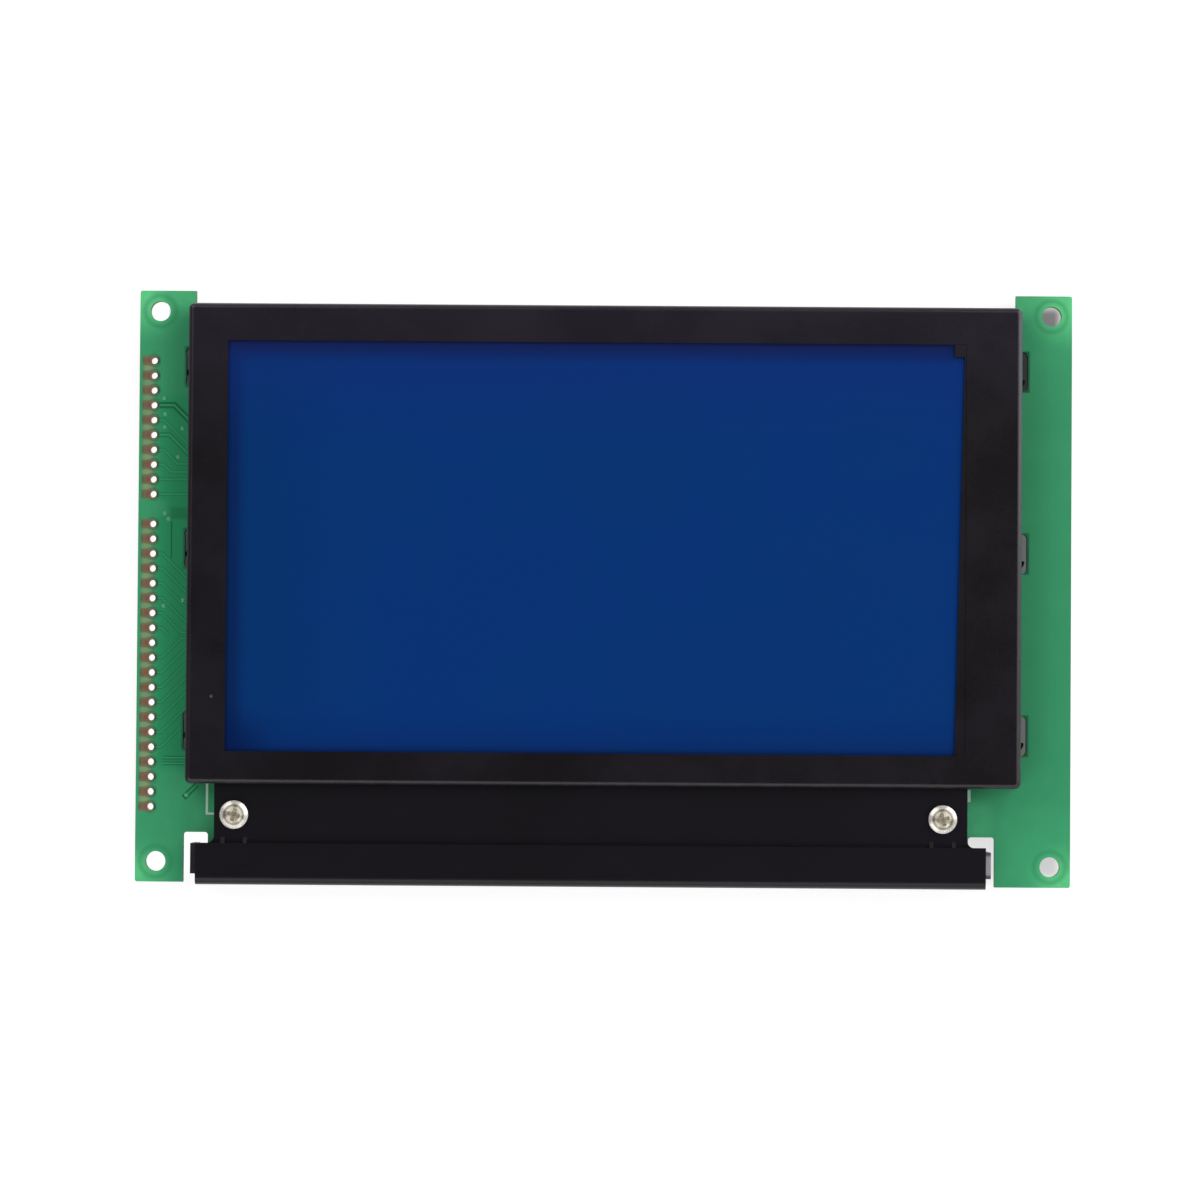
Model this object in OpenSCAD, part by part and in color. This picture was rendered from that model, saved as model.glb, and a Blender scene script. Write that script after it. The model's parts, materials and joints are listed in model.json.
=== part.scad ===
// Graphic display module: a blue negative display in a folded black bezel on a green circuit board,
// lit from its lower edge by a row of lamps in a screwed-on cover.
// The board lies in the XY plane with its rear face at z = 0. The display faces +Z, its top is at +Y.
// The origin is the centre of the four mounting holes. All sizes are in millimetres.

/* [Board] */
// Board size along X
board_w = 159.4; // [145:0.1:175]
// Board size along Y
board_h = 101; // [92:0.1:111]
// Board thickness
board_t = 1.6; // [1.2:0.1:2]
// Distance from the board's edges to the mounting holes' centres
hole_inset = 3.5; // [3:0.1:4]
// Mounting hole diameter
hole_d = 3.4; // [2.8:0.1:3.6]

/* [Header] */
// Distance between neighbouring header holes
pin_pitch = 2.54; // [2.3:0.01:2.6]
// Number of holes in the upper group
upper_pins = 10; // [4:1:10]
// Number of holes in the lower group
lower_pins = 20; // [8:1:20]
// Distance from the board's left edge to the row of holes
pin_inset = 2.5; // [2.2:0.1:2.8]
// Height of the row's centre above the board's centre
header_rise = 0.4; // [-1:0.1:1]
// Bore of a plated header hole
pin_hole_d = 1.15; // [0.8:0.05:1.2]
// Height of a header pad
pad_h = 1.6; // [1.5:0.05:1.8]

/* [Bezel] */
// Width of the board's wing on each side of the bezel
wing_w = 9; // [8:0.1:10]
// Distance from the board's top edge to the bezel
top_inset = 2.65; // [2.5:0.05:3.3]
// Distance from the board's bottom edge to the bezel
bottom_inset = 16.85; // [16:0.05:19]
// Sheet thickness
sheet_t = 0.5; // [0.4:0.05:0.6]
// Outer radius of the folds
fold_r = 0.9; // [0.8:0.05:1.1]
// Outer radius of the corners seen from the front
corner_r = 1; // [0.95:0.05:2]
// Border left of the window
border_left = 6.75; // [6:0.05:8]
// Border right of the window
border_right = 9.5; // [9:0.1:12]
// Border above the window
border_top = 6.35; // [5.6:0.05:8]
// Border below the window
border_bottom = 5.5; // [4.9:0.05:7]
// Distance of the upper tabs below the bezel's upper side
tab_top = 10.35; // [9:0.05:12]
// Distance of the lower tabs above the bezel's lower side
tab_bottom = 8.95; // [8:0.05:11]
// Width of a tab
tab_w = 3; // [2.4:0.1:3.4]
// Length of a slot in the board
slot_l = 6.8; // [6.2:0.1:7.6]

/* [Cell and light guide] */
// Thickness of one glass
glass_t = 1.1; // [0.7:0.1:1.4]
// Thickness of a polarizer
polarizer_t = 0.2; // [0.15:0.05:0.3]
// Thickness of a diffuser or reflector sheet
film_t = 0.2; // [0.15:0.05:0.3]
// Thickness of the light guide
guide_t = 4; // [3:0.1:4.5]
// Width of a rubber connector strip
connector_w = 2; // [1.6:0.1:2.2]
// Width of the black mask film at its upper end
mask_upper_w = 0.3; // [0.2:0.05:1]
// Width of the black mask film at its lower end
mask_lower_w = 1.8; // [1:0.05:2.5]

/* [Lamp unit] */
// How far the cover plate reaches past the window on the left
plate_over_left = 1.85; // [1.4:0.05:2]
// How far the cover plate reaches past the window on the right
plate_over_right = 0.6; // [0.4:0.1:2]
// How far the lamp channel reaches past the plate on each side
channel_over = 3.1; // [2.8:0.1:3.4]
// Height of the channel along Y
channel_h = 7.05; // [6.85:0.05:7.25]
// Thickness of the cover's walls
cover_t = 1; // [0.9:0.05:1.1]
// How far the channel's front stands above the plate
channel_step = 0.9; // [0.6:0.1:1.2]
// Radius along the channel's lower front edge
channel_r = 1.4; // [0.8:0.1:1.6]
// Distance of the cover screws from the plate's sides
screw_inset = 3.8; // [3.5:0.1:4.2]
// Screw thread diameter
screw_d = 2.5; // [2:0.1:2.6]
// Screw head diameter
head_d = 4.8; // [4:0.1:5]
// Screw head height
head_h = 1.6; // [1.2:0.1:1.7]
// Number of lamps in the row
lamps = 18; // [8:1:20]

/* [Rear parts] */
// Height of the tall rear parts, on which the module lies
rear_h = 2.8; // [2.7:0.1:3.2]
// Distance of the controller's centre from the bezel's left side
controller_inset = 36.7; // [32:0.1:41]
// Distance of the controller's centre below the bezel's upper side
controller_drop = 35.85; // [33:0.05:39]
// Distance of the display memory's centre from the bezel's right side
memory_inset = 48.7; // [45:0.1:54]
// Distance of the display memory's centre below the bezel's upper side
memory_drop = 35.85; // [33:0.05:39]
// Radius of a driver's epoxy dome
dome_r = 8; // [6:0.5:8.5]
// Height of a driver's epoxy dome
dome_h = 1.3; // [0.9:0.1:1.6]

/* [Hidden] */
$fn = 64;

// Overshoot of a cutting shape past the face that it opens
cut = 1;
// Play between pieces that lie beside each other
play = 0.15;

// Levels of the stack, from the board's front face upwards
front = board_t;
guide_z = front + film_t;
diffuser_z = guide_z + guide_t;
rear_polarizer_z = diffuser_z + film_t;
rear_glass_z = rear_polarizer_z + polarizer_t;
front_glass_z = rear_glass_z + glass_t;
front_polarizer_z = front_glass_z + glass_t;
sheet_z = front_polarizer_z + polarizer_t;
bezel_top = sheet_z + sheet_t;
// The rim stops short of the board, so that the bezel presses on the cell alone
rim_gap = 0.1;
rim_z = front + rim_gap;

// Bezel limits
bezel_w = board_w - 2 * wing_w;
bezel_h = board_h - top_inset - bottom_inset;
bezel_right = bezel_w / 2;
bezel_lower = bottom_inset - board_h / 2;
bezel_upper = board_h / 2 - top_inset;
bezel_y = (bezel_lower + bezel_upper) / 2;
bezel_in_right = bezel_right - sheet_t;
bezel_in_lower = bezel_lower + sheet_t;
bezel_in_upper = bezel_upper - sheet_t;
window_left = border_left - bezel_right;
window_right = bezel_right - border_right;
window_lower = bezel_lower + border_bottom;
window_upper = bezel_upper - border_top;
window_w = window_right - window_left;
window_x = (window_left + window_right) / 2;
lower_tab_y = bezel_lower + tab_bottom;
upper_tab_y = bezel_upper - tab_top;

// Board outline
hole_x = board_w / 2 - hole_inset;
hole_y = board_h / 2 - hole_inset;
board_r = 0.4;
top_notch_margin = 0.6;
top_notch_gap = 0.2;
top_notch_w = bezel_w - 2 * top_notch_margin;
top_notch_y = bezel_in_upper - top_notch_gap;
skirt_side_gap = 0.4;
slot_in = 0.2;
slot_out_left = 1;
slot_out_right = 1.45;
slot_r = 0.9;
tab_offset = -1.2;
tab_turn = 80;
tab_bend_l = 1.2;
tab_slices = 8;
tab_end_gap = 0.4;

// Header holes
pin_x = pin_inset - board_w / 2;
pin_count = upper_pins + lower_pins;
first_pin_y = pin_pitch * pin_count / 2 + header_rise;
plating_t = 0.08;
pad_t = 0.05;
pad_edge_gap = 0.5;
pad_ring = 0.28;
barrel_d = pin_hole_d + 2 * plating_t;

// Panel frame and cell limits
frame_right = bezel_in_right - play;
frame_lower = bezel_in_lower + play;
frame_upper = bezel_in_upper - play;
frame_lip = 0.6;
glass_margin = 3.6;
glass_left = window_left - glass_margin;
glass_lower = frame_lower + frame_lip + play;
glass_right = frame_right - frame_lip;
glass_upper = frame_upper - frame_lip;
connector_gap = 0.55;
column_ledge_end = 0.3;
row_ledge_end = 2.5;
rear_glass_right = glass_right - connector_gap - connector_w - row_ledge_end;
rear_glass_upper = glass_upper - connector_gap - connector_w - column_ledge_end;
polarizer_margin = 1.6;
mask_gap = 0.05;
mask_t = sheet_t - mask_gap;
mask_corner_w = 2;
mask_corner_h = 2.1;
frame_top = bezel_top - fold_r - play;
frame_r = corner_r;
connector_over = 1;
connector_top = front_glass_z;

// Lamp unit limits
channel_out = 0.25;
channel_lower = -board_h / 2 - channel_out;
channel_upper = channel_lower + channel_h;
plate_left = window_left - plate_over_left;
plate_right = window_right + plate_over_right;
plate_w = plate_right - plate_left;
lamp_x = (plate_left + plate_right) / 2;
channel_left = plate_left - channel_over;
channel_right = plate_right + channel_over;
plate_gap = 0.2;
plate_z = diffuser_z + plate_gap;
plate_top = plate_z + cover_t;
channel_top = plate_top + channel_step;
channel_in_top = channel_top - cover_t;
wall_t = 0.8;
guide_side_gap = 0.4;
guide_left = plate_left + wall_t + guide_side_gap;
guide_right = plate_right - wall_t - guide_side_gap;
guide_w = guide_right - guide_left;
guide_top_margin = 0.8;
guide_upper = window_upper + guide_top_margin;
tongue_under = 0.6;
tongue_lower = channel_upper - tongue_under;
guide_lower = tongue_lower;
wall_gap = 0.2;
lamp_opening_gap = 0.3;
plan_fillet_r = 1.2;
gusset_t = 0.7;
gusset_l = 1;
gusset_offset = 1.9;
screw_shift = -0.4;
// Where the screws sit between the channel and the bezel
screw_share = 0.478;
screw_y = channel_upper + screw_share * (bezel_lower - channel_upper);
boss_r = 2.7;
screw_play = 0.15;
boss_gap = 0.4;

// Board cut-out for the lamp unit
holder_over = 1;
holder_left = channel_left - holder_over;
holder_right = channel_right + holder_over;
cut_gap_left = 1.6;
cut_gap_right = 0.9;
cut_gap_top = 1.7;
cut_r = 0.5;
cut_left = holder_left - cut_gap_left;
cut_right = holder_right + cut_gap_right;
cut_upper = channel_upper + cut_gap_top;
tongue_margin_left = 1.5;
tongue_margin_right = 0.5;
tongue_left = plate_left - tongue_margin_left;
tongue_right = plate_right + tongue_margin_right;

// Lamp holder, its lamps and their board
holder_flange_t = 0.5;
holder_rear_t = 1;
holder_rear_rise = 0.6;
holder_end_l = 3;
holder_end_gap = 0.2;
holder_end_lower = 1.8;
holder_ear_gap = 0.1;
led_board_t = 1;
led_board_gap = 0.3;
led_t = 1.4;
led_w = 3;
led_h = 2.8;
led_gap = 0.3;
led_face = guide_lower - led_gap;
led_board_front = led_face - led_t;
led_board_rear = led_board_front - led_board_t;
holder_rear_z = -rear_h + holder_rear_rise;
led_board_z = holder_rear_z + holder_rear_t;
led_board_top = channel_in_top - holder_flange_t;
led_board_left = holder_left + holder_end_l + led_board_gap;
led_board_right = holder_right - holder_end_l - led_board_gap;
led_span = guide_w - 2 * led_w;
led_z = guide_z + guide_t / 2;
feed_d = 0.6;
feed_pitch = 2.54;
feed_inset = 6;
feed_reach = 1.8;

// Screws and nuts
nut_h = 2;
nut_flats = 5;
nut_chamfer_h = 0.25;
screw_tip = 0.4;
screw_turn = 16;
head_edge_h = 0.7;
recess_l = 2.8;
recess_w = 0.65;
recess_h = 1.1;
recess_tip_d = 0.8;

// Packages
package_standoff = 0.2;
package_draft = 0.25;
lead_t = 0.16;
lead_shoulder = 0.45;
lead_run = 0.3;
lead_foot = 0.8;
dot_d = 1.2;
dot_depth = 0.1;
controller_l = 20;
controller_w = 14;
controller_pitch = 1;
controller_long_leads = 18;
controller_short_leads = 12;
controller_lead_w = 0.4;
memory_l = 18;
memory_w = 8.4;
memory_pitch = 1.27;
memory_side_leads = 14;
memory_lead_w = 0.42;
amplifier_l = 8.7;
amplifier_w = 3.9;
amplifier_h = 1.6;
amplifier_pitch = 1.27;
amplifier_side_leads = 7;
amplifier_lead_w = 0.42;
controller_x = controller_inset - bezel_right;
controller_y = bezel_upper - controller_drop;
memory_x = bezel_right - memory_inset;
memory_y = bezel_upper - memory_drop;
amplifier_side = 2;
amplifier_drop = 24;
amplifier_x = memory_x + amplifier_side;
amplifier_y = memory_y - amplifier_drop;

// Drivers and chip parts
driver_drop = 13.35;
driver_row_y = bezel_upper - driver_drop;
// Steps between drivers, as shares of the window's width and the bezel's height
driver_share = 0.347;
driver_step = driver_share * window_w;
row_driver_share = 0.324;
row_driver_step = row_driver_share * bezel_h;
row_driver_inset = 16.7;
row_driver_x = bezel_right - row_driver_inset;
chip_l = 2;
chip_w = 1.25;
capacitor_h = 0.9;
resistor_h = 0.55;
chip_step = 4.2;
capacitors = 9;
capacitor_side = 16;
capacitor_drop = 16;
capacitor_x = controller_x - capacitor_side;
capacitor_y = controller_y - capacitor_drop;
resistors = 8;
resistor_side = 13;
resistor_drop = 8;
resistor_x = memory_x - resistor_side;
resistor_y = amplifier_y - resistor_drop;

function header_y(i) = first_pin_y - pin_pitch * (i < upper_pins ? i : i + 1);
function tab_heights() = [lower_tab_y, (lower_tab_y + upper_tab_y) / 2, upper_tab_y];
function screw_sides() = [plate_left + screw_inset + screw_shift, plate_right - screw_inset + screw_shift];

// A box between two limits on each axis
module span(x0, x1, y0, y1, z0, z1) {
  translate([x0, y0, z0]) cube([x1 - x0, y1 - y0, z1 - z0]);
}

// A flat rectangle with rounded corners between two limits on each axis
module rounded_rect(x0, x1, y0, y1, r) {
  translate([x0 + r, y0]) square([x1 - x0 - 2 * r, y1 - y0]);
  translate([x0, y0 + r]) square([x1 - x0, y1 - y0 - 2 * r]);
  for (x = [x0 + r, x1 - r])
    for (y = [y0 + r, y1 - r])
      translate([x, y]) circle(r);
}

// A profile drawn in Y and Z, extruded along X
module along_x(x0, x1) {
  translate([x0, 0, 0]) rotate([90, 0, 90]) linear_extrude(x1 - x0) children();
}

// A part drawn upwards from the board, put on the board's rear face
module on_rear(x, y) {
  translate([x, y, 0]) rotate([180, 0, 0]) children();
}

module board_outline() {
  difference() {
    rounded_rect(-board_w / 2, board_w / 2, -board_h / 2, board_h / 2, board_r);
    translate([-top_notch_w / 2, top_notch_y]) square([top_notch_w, board_h]);
    rounded_rect(cut_left, cut_right, -board_h, tongue_lower, cut_r);
    rounded_rect(cut_left, tongue_left, -board_h, cut_upper, cut_r);
    rounded_rect(tongue_right, cut_right, -board_h, cut_upper, cut_r);
  }
}

module tab_slots() {
  for (y = tab_heights()) {
    rounded_rect(bezel_in_right - slot_in, bezel_right + slot_out_right, y - slot_l / 2, y + slot_l / 2, slot_r);
    rounded_rect(-bezel_right - slot_out_left, slot_in - bezel_in_right, y - slot_l / 2, y + slot_l / 2, slot_r);
  }
}

module circuit_board() {
  color("#2f8f5b")
    linear_extrude(board_t)
      difference() {
        board_outline();
        tab_slots();
        for (x = [-1, 1])
          for (y = [-1, 1])
            translate([x * hole_x, y * hole_y]) circle(d = hole_d);
        for (i = [0 : pin_count - 1])
          translate([pin_x, header_y(i)]) circle(d = barrel_d);
        for (x = screw_sides())
          translate([x, screw_y]) circle(d = screw_d + 2 * screw_play);
      }
}

// One flat pad from near the board's edge to just past its hole
module pad_shape() {
  pad_right = barrel_d / 2 + pad_ring;
  translate([pad_edge_gap - pin_inset, -pad_h / 2]) square([pin_inset - pad_edge_gap, pad_h]);
  circle(r = pad_right);
}

module header_pads() {
  color("#8a6a48")
    for (i = [0 : pin_count - 1])
      translate([pin_x, header_y(i), 0])
        difference() {
          union() {
            translate([0, 0, -pad_t]) linear_extrude(pad_t) pad_shape();
            translate([0, 0, front]) linear_extrude(pad_t) pad_shape();
            translate([0, 0, -pad_t]) cylinder(d = barrel_d, h = board_t + 2 * pad_t);
          }
          translate([0, 0, -cut]) cylinder(d = pin_hole_d, h = board_t + 2 * cut);
        }
}

// Section through a bezel wall and its fold, measured outwards from a corner's axis
module fold_section() {
  translate([corner_r - sheet_t, rim_z]) square([sheet_t, bezel_top - fold_r - rim_z]);
  translate([0, sheet_z]) square([corner_r - fold_r, sheet_t]);
  translate([corner_r - fold_r, bezel_top - fold_r])
    intersection() {
      difference() {
        circle(fold_r);
        circle(fold_r - sheet_t);
      }
      square(fold_r);
    }
}

// The folded rim: four straight walls and four turned corners
module folded_rim() {
  run_x = bezel_w / 2 - corner_r;
  run_y = bezel_h / 2 - corner_r;
  for (turn = [0 : 3]) {
    reach = turn % 2 == 0 ? run_x : run_y;
    half = turn % 2 == 0 ? run_y : run_x;
    rotate([0, 0, 90 * turn]) {
      translate([reach, half, 0]) rotate([90, 0, 0]) linear_extrude(2 * half) fold_section();
      translate([reach, half, 0]) rotate_extrude(angle = 90) fold_section();
    }
  }
}

// A tab that drops through its slot and is turned across it behind the board
module twist_tab() {
  end_l = rear_h - tab_end_gap - sheet_t - tab_bend_l;
  translate([-sheet_t / 2, -tab_w / 2, -sheet_t]) cube([sheet_t, tab_w, front + 2 * sheet_t]);
  translate([0, 0, -sheet_t - tab_bend_l])
    rotate([0, 0, tab_turn]) {
      linear_extrude(tab_bend_l, twist = tab_turn, slices = tab_slices, $fn = 4)
        square([sheet_t, tab_w], center = true);
      translate([-sheet_t / 2, -tab_w / 2, -end_l]) cube([sheet_t, tab_w, end_l]);
    }
}

module bezel() {
  wall_x = bezel_right - sheet_t / 2;
  skirt_w = top_notch_w - 2 * skirt_side_gap;
  color("#201d22") {
    difference() {
      translate([0, bezel_y, 0]) folded_rim();
      span(
        plate_left - lamp_opening_gap, plate_right + lamp_opening_gap,
        bezel_lower - cut, bezel_in_lower + fold_r,
        front - cut, plate_top + wall_gap
      );
    }
    difference() {
      translate([corner_r - bezel_w / 2, bezel_y + corner_r - bezel_h / 2, sheet_z])
        cube([bezel_w - 2 * corner_r, bezel_h - 2 * corner_r, sheet_t]);
      span(window_left, window_right, window_lower, window_upper, sheet_z - cut, bezel_top + cut);
    }
    span(-skirt_w / 2, skirt_w / 2, bezel_in_upper, bezel_upper, 0, rim_z);
    for (side = [-1, 1])
      for (y = tab_heights())
        translate([side * wall_x, y + tab_offset, 0]) twist_tab();
  }
}

// Black film on the display along the window's right side, a little askew and wider at its top corner
module mask_film() {
  right = window_right - mask_gap;
  lower = window_lower + mask_gap;
  upper = window_upper - mask_gap;
  corner_lower = window_upper - mask_corner_h;
  color("#1e1b20")
    translate([0, 0, sheet_z])
      linear_extrude(mask_t)
        polygon([
          [right, lower], [right, upper],
          [window_right - mask_corner_w, upper], [window_right - mask_corner_w, corner_lower],
          [window_right - mask_upper_w, corner_lower], [window_right - mask_lower_w, lower]
        ]);
}

module front_polarizer() {
  color("#0a3273")
    span(
      window_left - polarizer_margin, window_right + polarizer_margin,
      window_lower - polarizer_margin, window_upper + polarizer_margin,
      front_polarizer_z, sheet_z
    );
}

module front_glass() {
  color("#b9cfd6")
    span(glass_left, glass_right, glass_lower, glass_upper, front_glass_z, front_polarizer_z);
}

module rear_glass() {
  color("#b0c8d0")
    span(glass_left, rear_glass_right, glass_lower, rear_glass_upper, rear_glass_z, front_glass_z);
}

module rear_polarizer() {
  color("#22304c")
    span(
      guide_left, guide_right, window_lower - polarizer_margin, guide_upper,
      rear_polarizer_z, rear_glass_z
    );
}

module diffuser_sheet() {
  color("#eef0ee")
    span(
      guide_left, guide_right, window_lower - polarizer_margin, guide_upper,
      diffuser_z, rear_polarizer_z
    );
}

// Clear plate from the display's top to the lamps, notched at its sides for the two bosses
module light_guide() {
  notch_r = boss_r + boss_gap;
  sides = screw_sides();
  color("#d9eef2")
    difference() {
      span(guide_left, guide_right, guide_lower, guide_upper, guide_z, diffuser_z);
      for (x = sides)
        translate([x, screw_y, guide_z - cut]) cylinder(r = notch_r, h = guide_t + 2 * cut);
      span(guide_left - cut, sides[0], screw_y - notch_r, screw_y + notch_r, guide_z - cut, diffuser_z + cut);
      span(sides[1], guide_right + cut, screw_y - notch_r, screw_y + notch_r, guide_z - cut, diffuser_z + cut);
    }
}

module reflector_sheet() {
  sides = screw_sides();
  notch_r = boss_r + boss_gap;
  color("#f6f6f4")
    difference() {
      span(guide_left, guide_right, guide_lower, guide_upper, front, guide_z);
      span(guide_left - cut, sides[0] + notch_r, screw_y - notch_r, screw_y + notch_r, front - cut, guide_z + cut);
      span(sides[1] - notch_r, guide_right + cut, screw_y - notch_r, screw_y + notch_r, front - cut, guide_z + cut);
    }
}

// Limits of the strip above the rear glass and of the strip to its right
module column_connector() {
  lower = rear_glass_upper + connector_gap;
  color("#3a3a3c")
    span(
      window_left - connector_over, window_right + connector_over,
      lower, lower + connector_w, front, connector_top
    );
}

module row_connector() {
  left = rear_glass_right + connector_gap;
  color("#3a3a3c")
    span(
      left, left + connector_w, window_lower - connector_over, window_upper + connector_over,
      front, connector_top
    );
}

// Moulded frame with stepped pockets for the guide, both glasses and the connector strips
module panel_frame() {
  strip_lower = rear_glass_upper + connector_gap;
  strip_left = rear_glass_right + connector_gap;
  color("#e6e6e2")
    difference() {
      translate([0, 0, front])
        linear_extrude(frame_top - front)
          rounded_rect(-frame_right, frame_right, frame_lower, frame_upper, frame_r);
      span(
        guide_left - play, guide_right + play, frame_lower - cut, guide_upper + play,
        front - cut, diffuser_z + plate_gap
      );
      span(
        guide_left - play, guide_right + play,
        window_lower - polarizer_margin - play, guide_upper + play,
        front, front_glass_z
      );
      span(
        glass_left - play, rear_glass_right + play, glass_lower - play, rear_glass_upper + play,
        rear_glass_z, front_glass_z + cut
      );
      span(
        glass_left - play, glass_right + play, glass_lower - play, glass_upper + play,
        front_glass_z, sheet_z + cut
      );
      span(
        window_left - connector_over - play, window_right + connector_over + play,
        strip_lower - play, strip_lower + connector_w + play, front - cut, front_glass_z + cut
      );
      span(
        strip_left - play, strip_left + connector_w + play,
        window_lower - connector_over - play, window_upper + connector_over + play,
        front - cut, front_glass_z + cut
      );
    }
}

// Section of the lamp channel: front wall with a rounded edge, upper lip and long lower wall
module channel_section() {
  difference() {
    translate([channel_lower, -rear_h]) square([channel_h, channel_top + rear_h]);
    translate([channel_lower + cover_t, -rear_h - cut])
      square([channel_h - 2 * cover_t, channel_in_top + rear_h + cut]);
    translate([channel_upper - cover_t - cut, -rear_h - cut])
      square([cover_t + 2 * cut, plate_z + rear_h + cut]);
    translate([channel_lower, channel_top - channel_r])
      difference() {
        translate([-cut, 0]) square([channel_r + cut, channel_r + cut]);
        translate([channel_r, 0]) circle(channel_r);
      }
  }
}

// Filling of the inner corner where the plate's side runs into the channel
module plan_fillet(x, side) {
  translate([x, channel_upper, plate_z])
    linear_extrude(cover_t)
      difference() {
        translate([side > 0 ? 0 : -plan_fillet_r, 0]) square(plan_fillet_r);
        translate([side * plan_fillet_r, plan_fillet_r]) circle(plan_fillet_r);
      }
}

module lamp_cover() {
  sides = screw_sides();
  wall_upper = bezel_lower - wall_gap;
  color("#1b191d")
    difference() {
      union() {
        along_x(channel_left, channel_right) channel_section();
        span(plate_left, plate_right, channel_upper, bezel_in_lower, plate_z, plate_top);
        span(plate_left, plate_left + wall_t, channel_upper, wall_upper, front, plate_z);
        span(plate_right - wall_t, plate_right, channel_upper, wall_upper, front, plate_z);
        plan_fillet(plate_left, -1);
        plan_fillet(plate_right, 1);
        for (x = sides) {
          translate([x, screw_y, front]) cylinder(r = boss_r, h = plate_z - front);
          for (offset = [-gusset_offset, gusset_offset])
            along_x(x + offset - gusset_t / 2, x + offset + gusset_t / 2)
              polygon([
                [channel_upper, plate_top],
                [channel_upper + gusset_l, plate_top],
                [channel_upper, channel_top - gusset_t / 2]
              ]);
        }
      }
      for (x = sides)
        translate([x, screw_y, front - cut])
          cylinder(d = screw_d + 2 * screw_play, h = plate_top - front + 2 * cut);
    }
}

// Carrier of the lamp row: an open channel whose two end blocks stand out of the cover
module lamp_holder() {
  spine_lower = channel_lower + cover_t;
  lip_upper = channel_upper - cover_t;
  end_upper = tongue_lower - holder_end_gap;
  end_lower = channel_lower + holder_end_lower;
  end_top = plate_z - play;
  color("#2c2a2e") {
    along_x(channel_left, channel_right) {
      translate([spine_lower, holder_rear_z])
        square([led_board_rear - spine_lower, channel_in_top - holder_rear_z]);
      translate([spine_lower, led_board_top]) square([lip_upper - spine_lower, holder_flange_t]);
      translate([spine_lower, holder_rear_z]) square([end_upper - spine_lower, holder_rear_t]);
    }
    span(holder_left, holder_left + holder_end_l, end_lower, end_upper, holder_rear_z, end_top);
    span(holder_left, channel_left, end_lower, channel_upper - holder_ear_gap, holder_rear_z, end_top);
    span(holder_right - holder_end_l, holder_right, end_lower, end_upper, holder_rear_z, end_top);
  }
}

module led_board() {
  color("#d8d8d0")
    span(
      led_board_left, led_board_right, led_board_rear, led_board_front,
      led_board_z, led_board_top
    );
}

module led_chips() {
  step = led_span / (lamps - 1);
  color("#f2e6a0")
    for (i = [0 : lamps - 1])
      translate([lamp_x - led_span / 2 + i * step - led_w / 2, led_board_front, led_z - led_h / 2])
        cube([led_w, led_t, led_h]);
}

// Two straight pins soldered from the lamp board to the rear of the circuit board
module feed_pins() {
  reach = tongue_lower + feed_reach - led_board_front;
  color("#c9b27a")
    for (i = [0, 1])
      translate([led_board_left + feed_inset + i * feed_pitch, led_board_front, -feed_d / 2])
        rotate([-90, 0, 0]) cylinder(d = feed_d, h = reach);
}

// Pan head with a pointed cross recess on a plain shank
module cover_screw() {
  shank = plate_top + nut_h + screw_tip;
  crown = head_h - head_edge_h;
  crown_r = (head_d * head_d / 4 + crown * crown) / (2 * crown);
  translate([0, 0, -shank]) cylinder(d = screw_d, h = shank);
  difference() {
    intersection() {
      cylinder(d = head_d, h = head_h);
      translate([0, 0, head_h - crown_r]) sphere(crown_r, $fn = 128);
    }
    intersection() {
      translate([0, 0, head_h - recess_h])
        cylinder(d1 = recess_tip_d, d2 = recess_l, h = recess_h + play);
      union() {
        for (turn = [0, 90])
          rotate([0, 0, turn])
            translate([-recess_l / 2 - cut, -recess_w / 2, head_h - recess_h])
              cube([recess_l + 2 * cut, recess_w, recess_h + cut]);
      }
    }
  }
}

module cover_screws() {
  color("#c9c6bd")
    for (x = screw_sides())
      translate([x, screw_y, plate_top]) rotate([0, 0, x > 0 ? screw_turn : -screw_turn]) cover_screw();
}

module cover_nuts() {
  across = nut_flats / cos(30);
  color("#b8b6ae")
    for (x = screw_sides())
      translate([x, screw_y, -nut_h])
        difference() {
          intersection() {
            cylinder(d = across, h = nut_h, $fn = 6);
            cylinder(d1 = nut_flats, d2 = nut_flats + (across - nut_flats) * nut_h / nut_chamfer_h, h = nut_h);
          }
          translate([0, 0, -cut]) cylinder(d = screw_d, h = nut_h + 2 * cut);
        }
}

// Half a package section: straight at the middle, drafted towards top and bottom
module package_section(l, h) {
  middle = (h + package_standoff) / 2;
  polygon([
    [-l / 2 + package_draft, package_standoff], [l / 2 - package_draft, package_standoff],
    [l / 2, middle], [l / 2 - package_draft, h],
    [-l / 2 + package_draft, h], [-l / 2, middle]
  ]);
}

// A moulded package with drafted sides and a round mark at its first lead
module package(l, w, h) {
  difference() {
    intersection() {
      rotate([90, 0, 0]) linear_extrude(w, center = true) package_section(l, h);
      rotate([90, 0, 90]) linear_extrude(l, center = true) package_section(w, h);
    }
    translate([dot_d - l / 2 + package_draft, dot_d - w / 2 + package_draft, h - dot_depth])
      cylinder(d = dot_d, h = dot_depth + cut);
  }
}

// One side's row of bent leads, running along X at the package side y = edge
module lead_row(edge, h, count, pitch, width) {
  middle = (h + package_standoff) / 2;
  bend = edge + lead_shoulder;
  toe = bend + lead_run;
  for (i = [0 : count - 1])
    translate([(i - (count - 1) / 2) * pitch - width / 2, 0, 0])
      rotate([90, 0, 90])
        linear_extrude(width)
          polygon([
            [edge, middle + lead_t / 2], [bend, middle + lead_t / 2],
            [toe, lead_t], [toe + lead_foot, lead_t],
            [toe + lead_foot, 0], [toe - lead_t, 0],
            [bend - lead_t, middle - lead_t / 2], [edge, middle - lead_t / 2]
          ]);
}

module controller() {
  color("#26262a") on_rear(controller_x, controller_y) package(controller_l, controller_w, rear_h);
}

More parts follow.
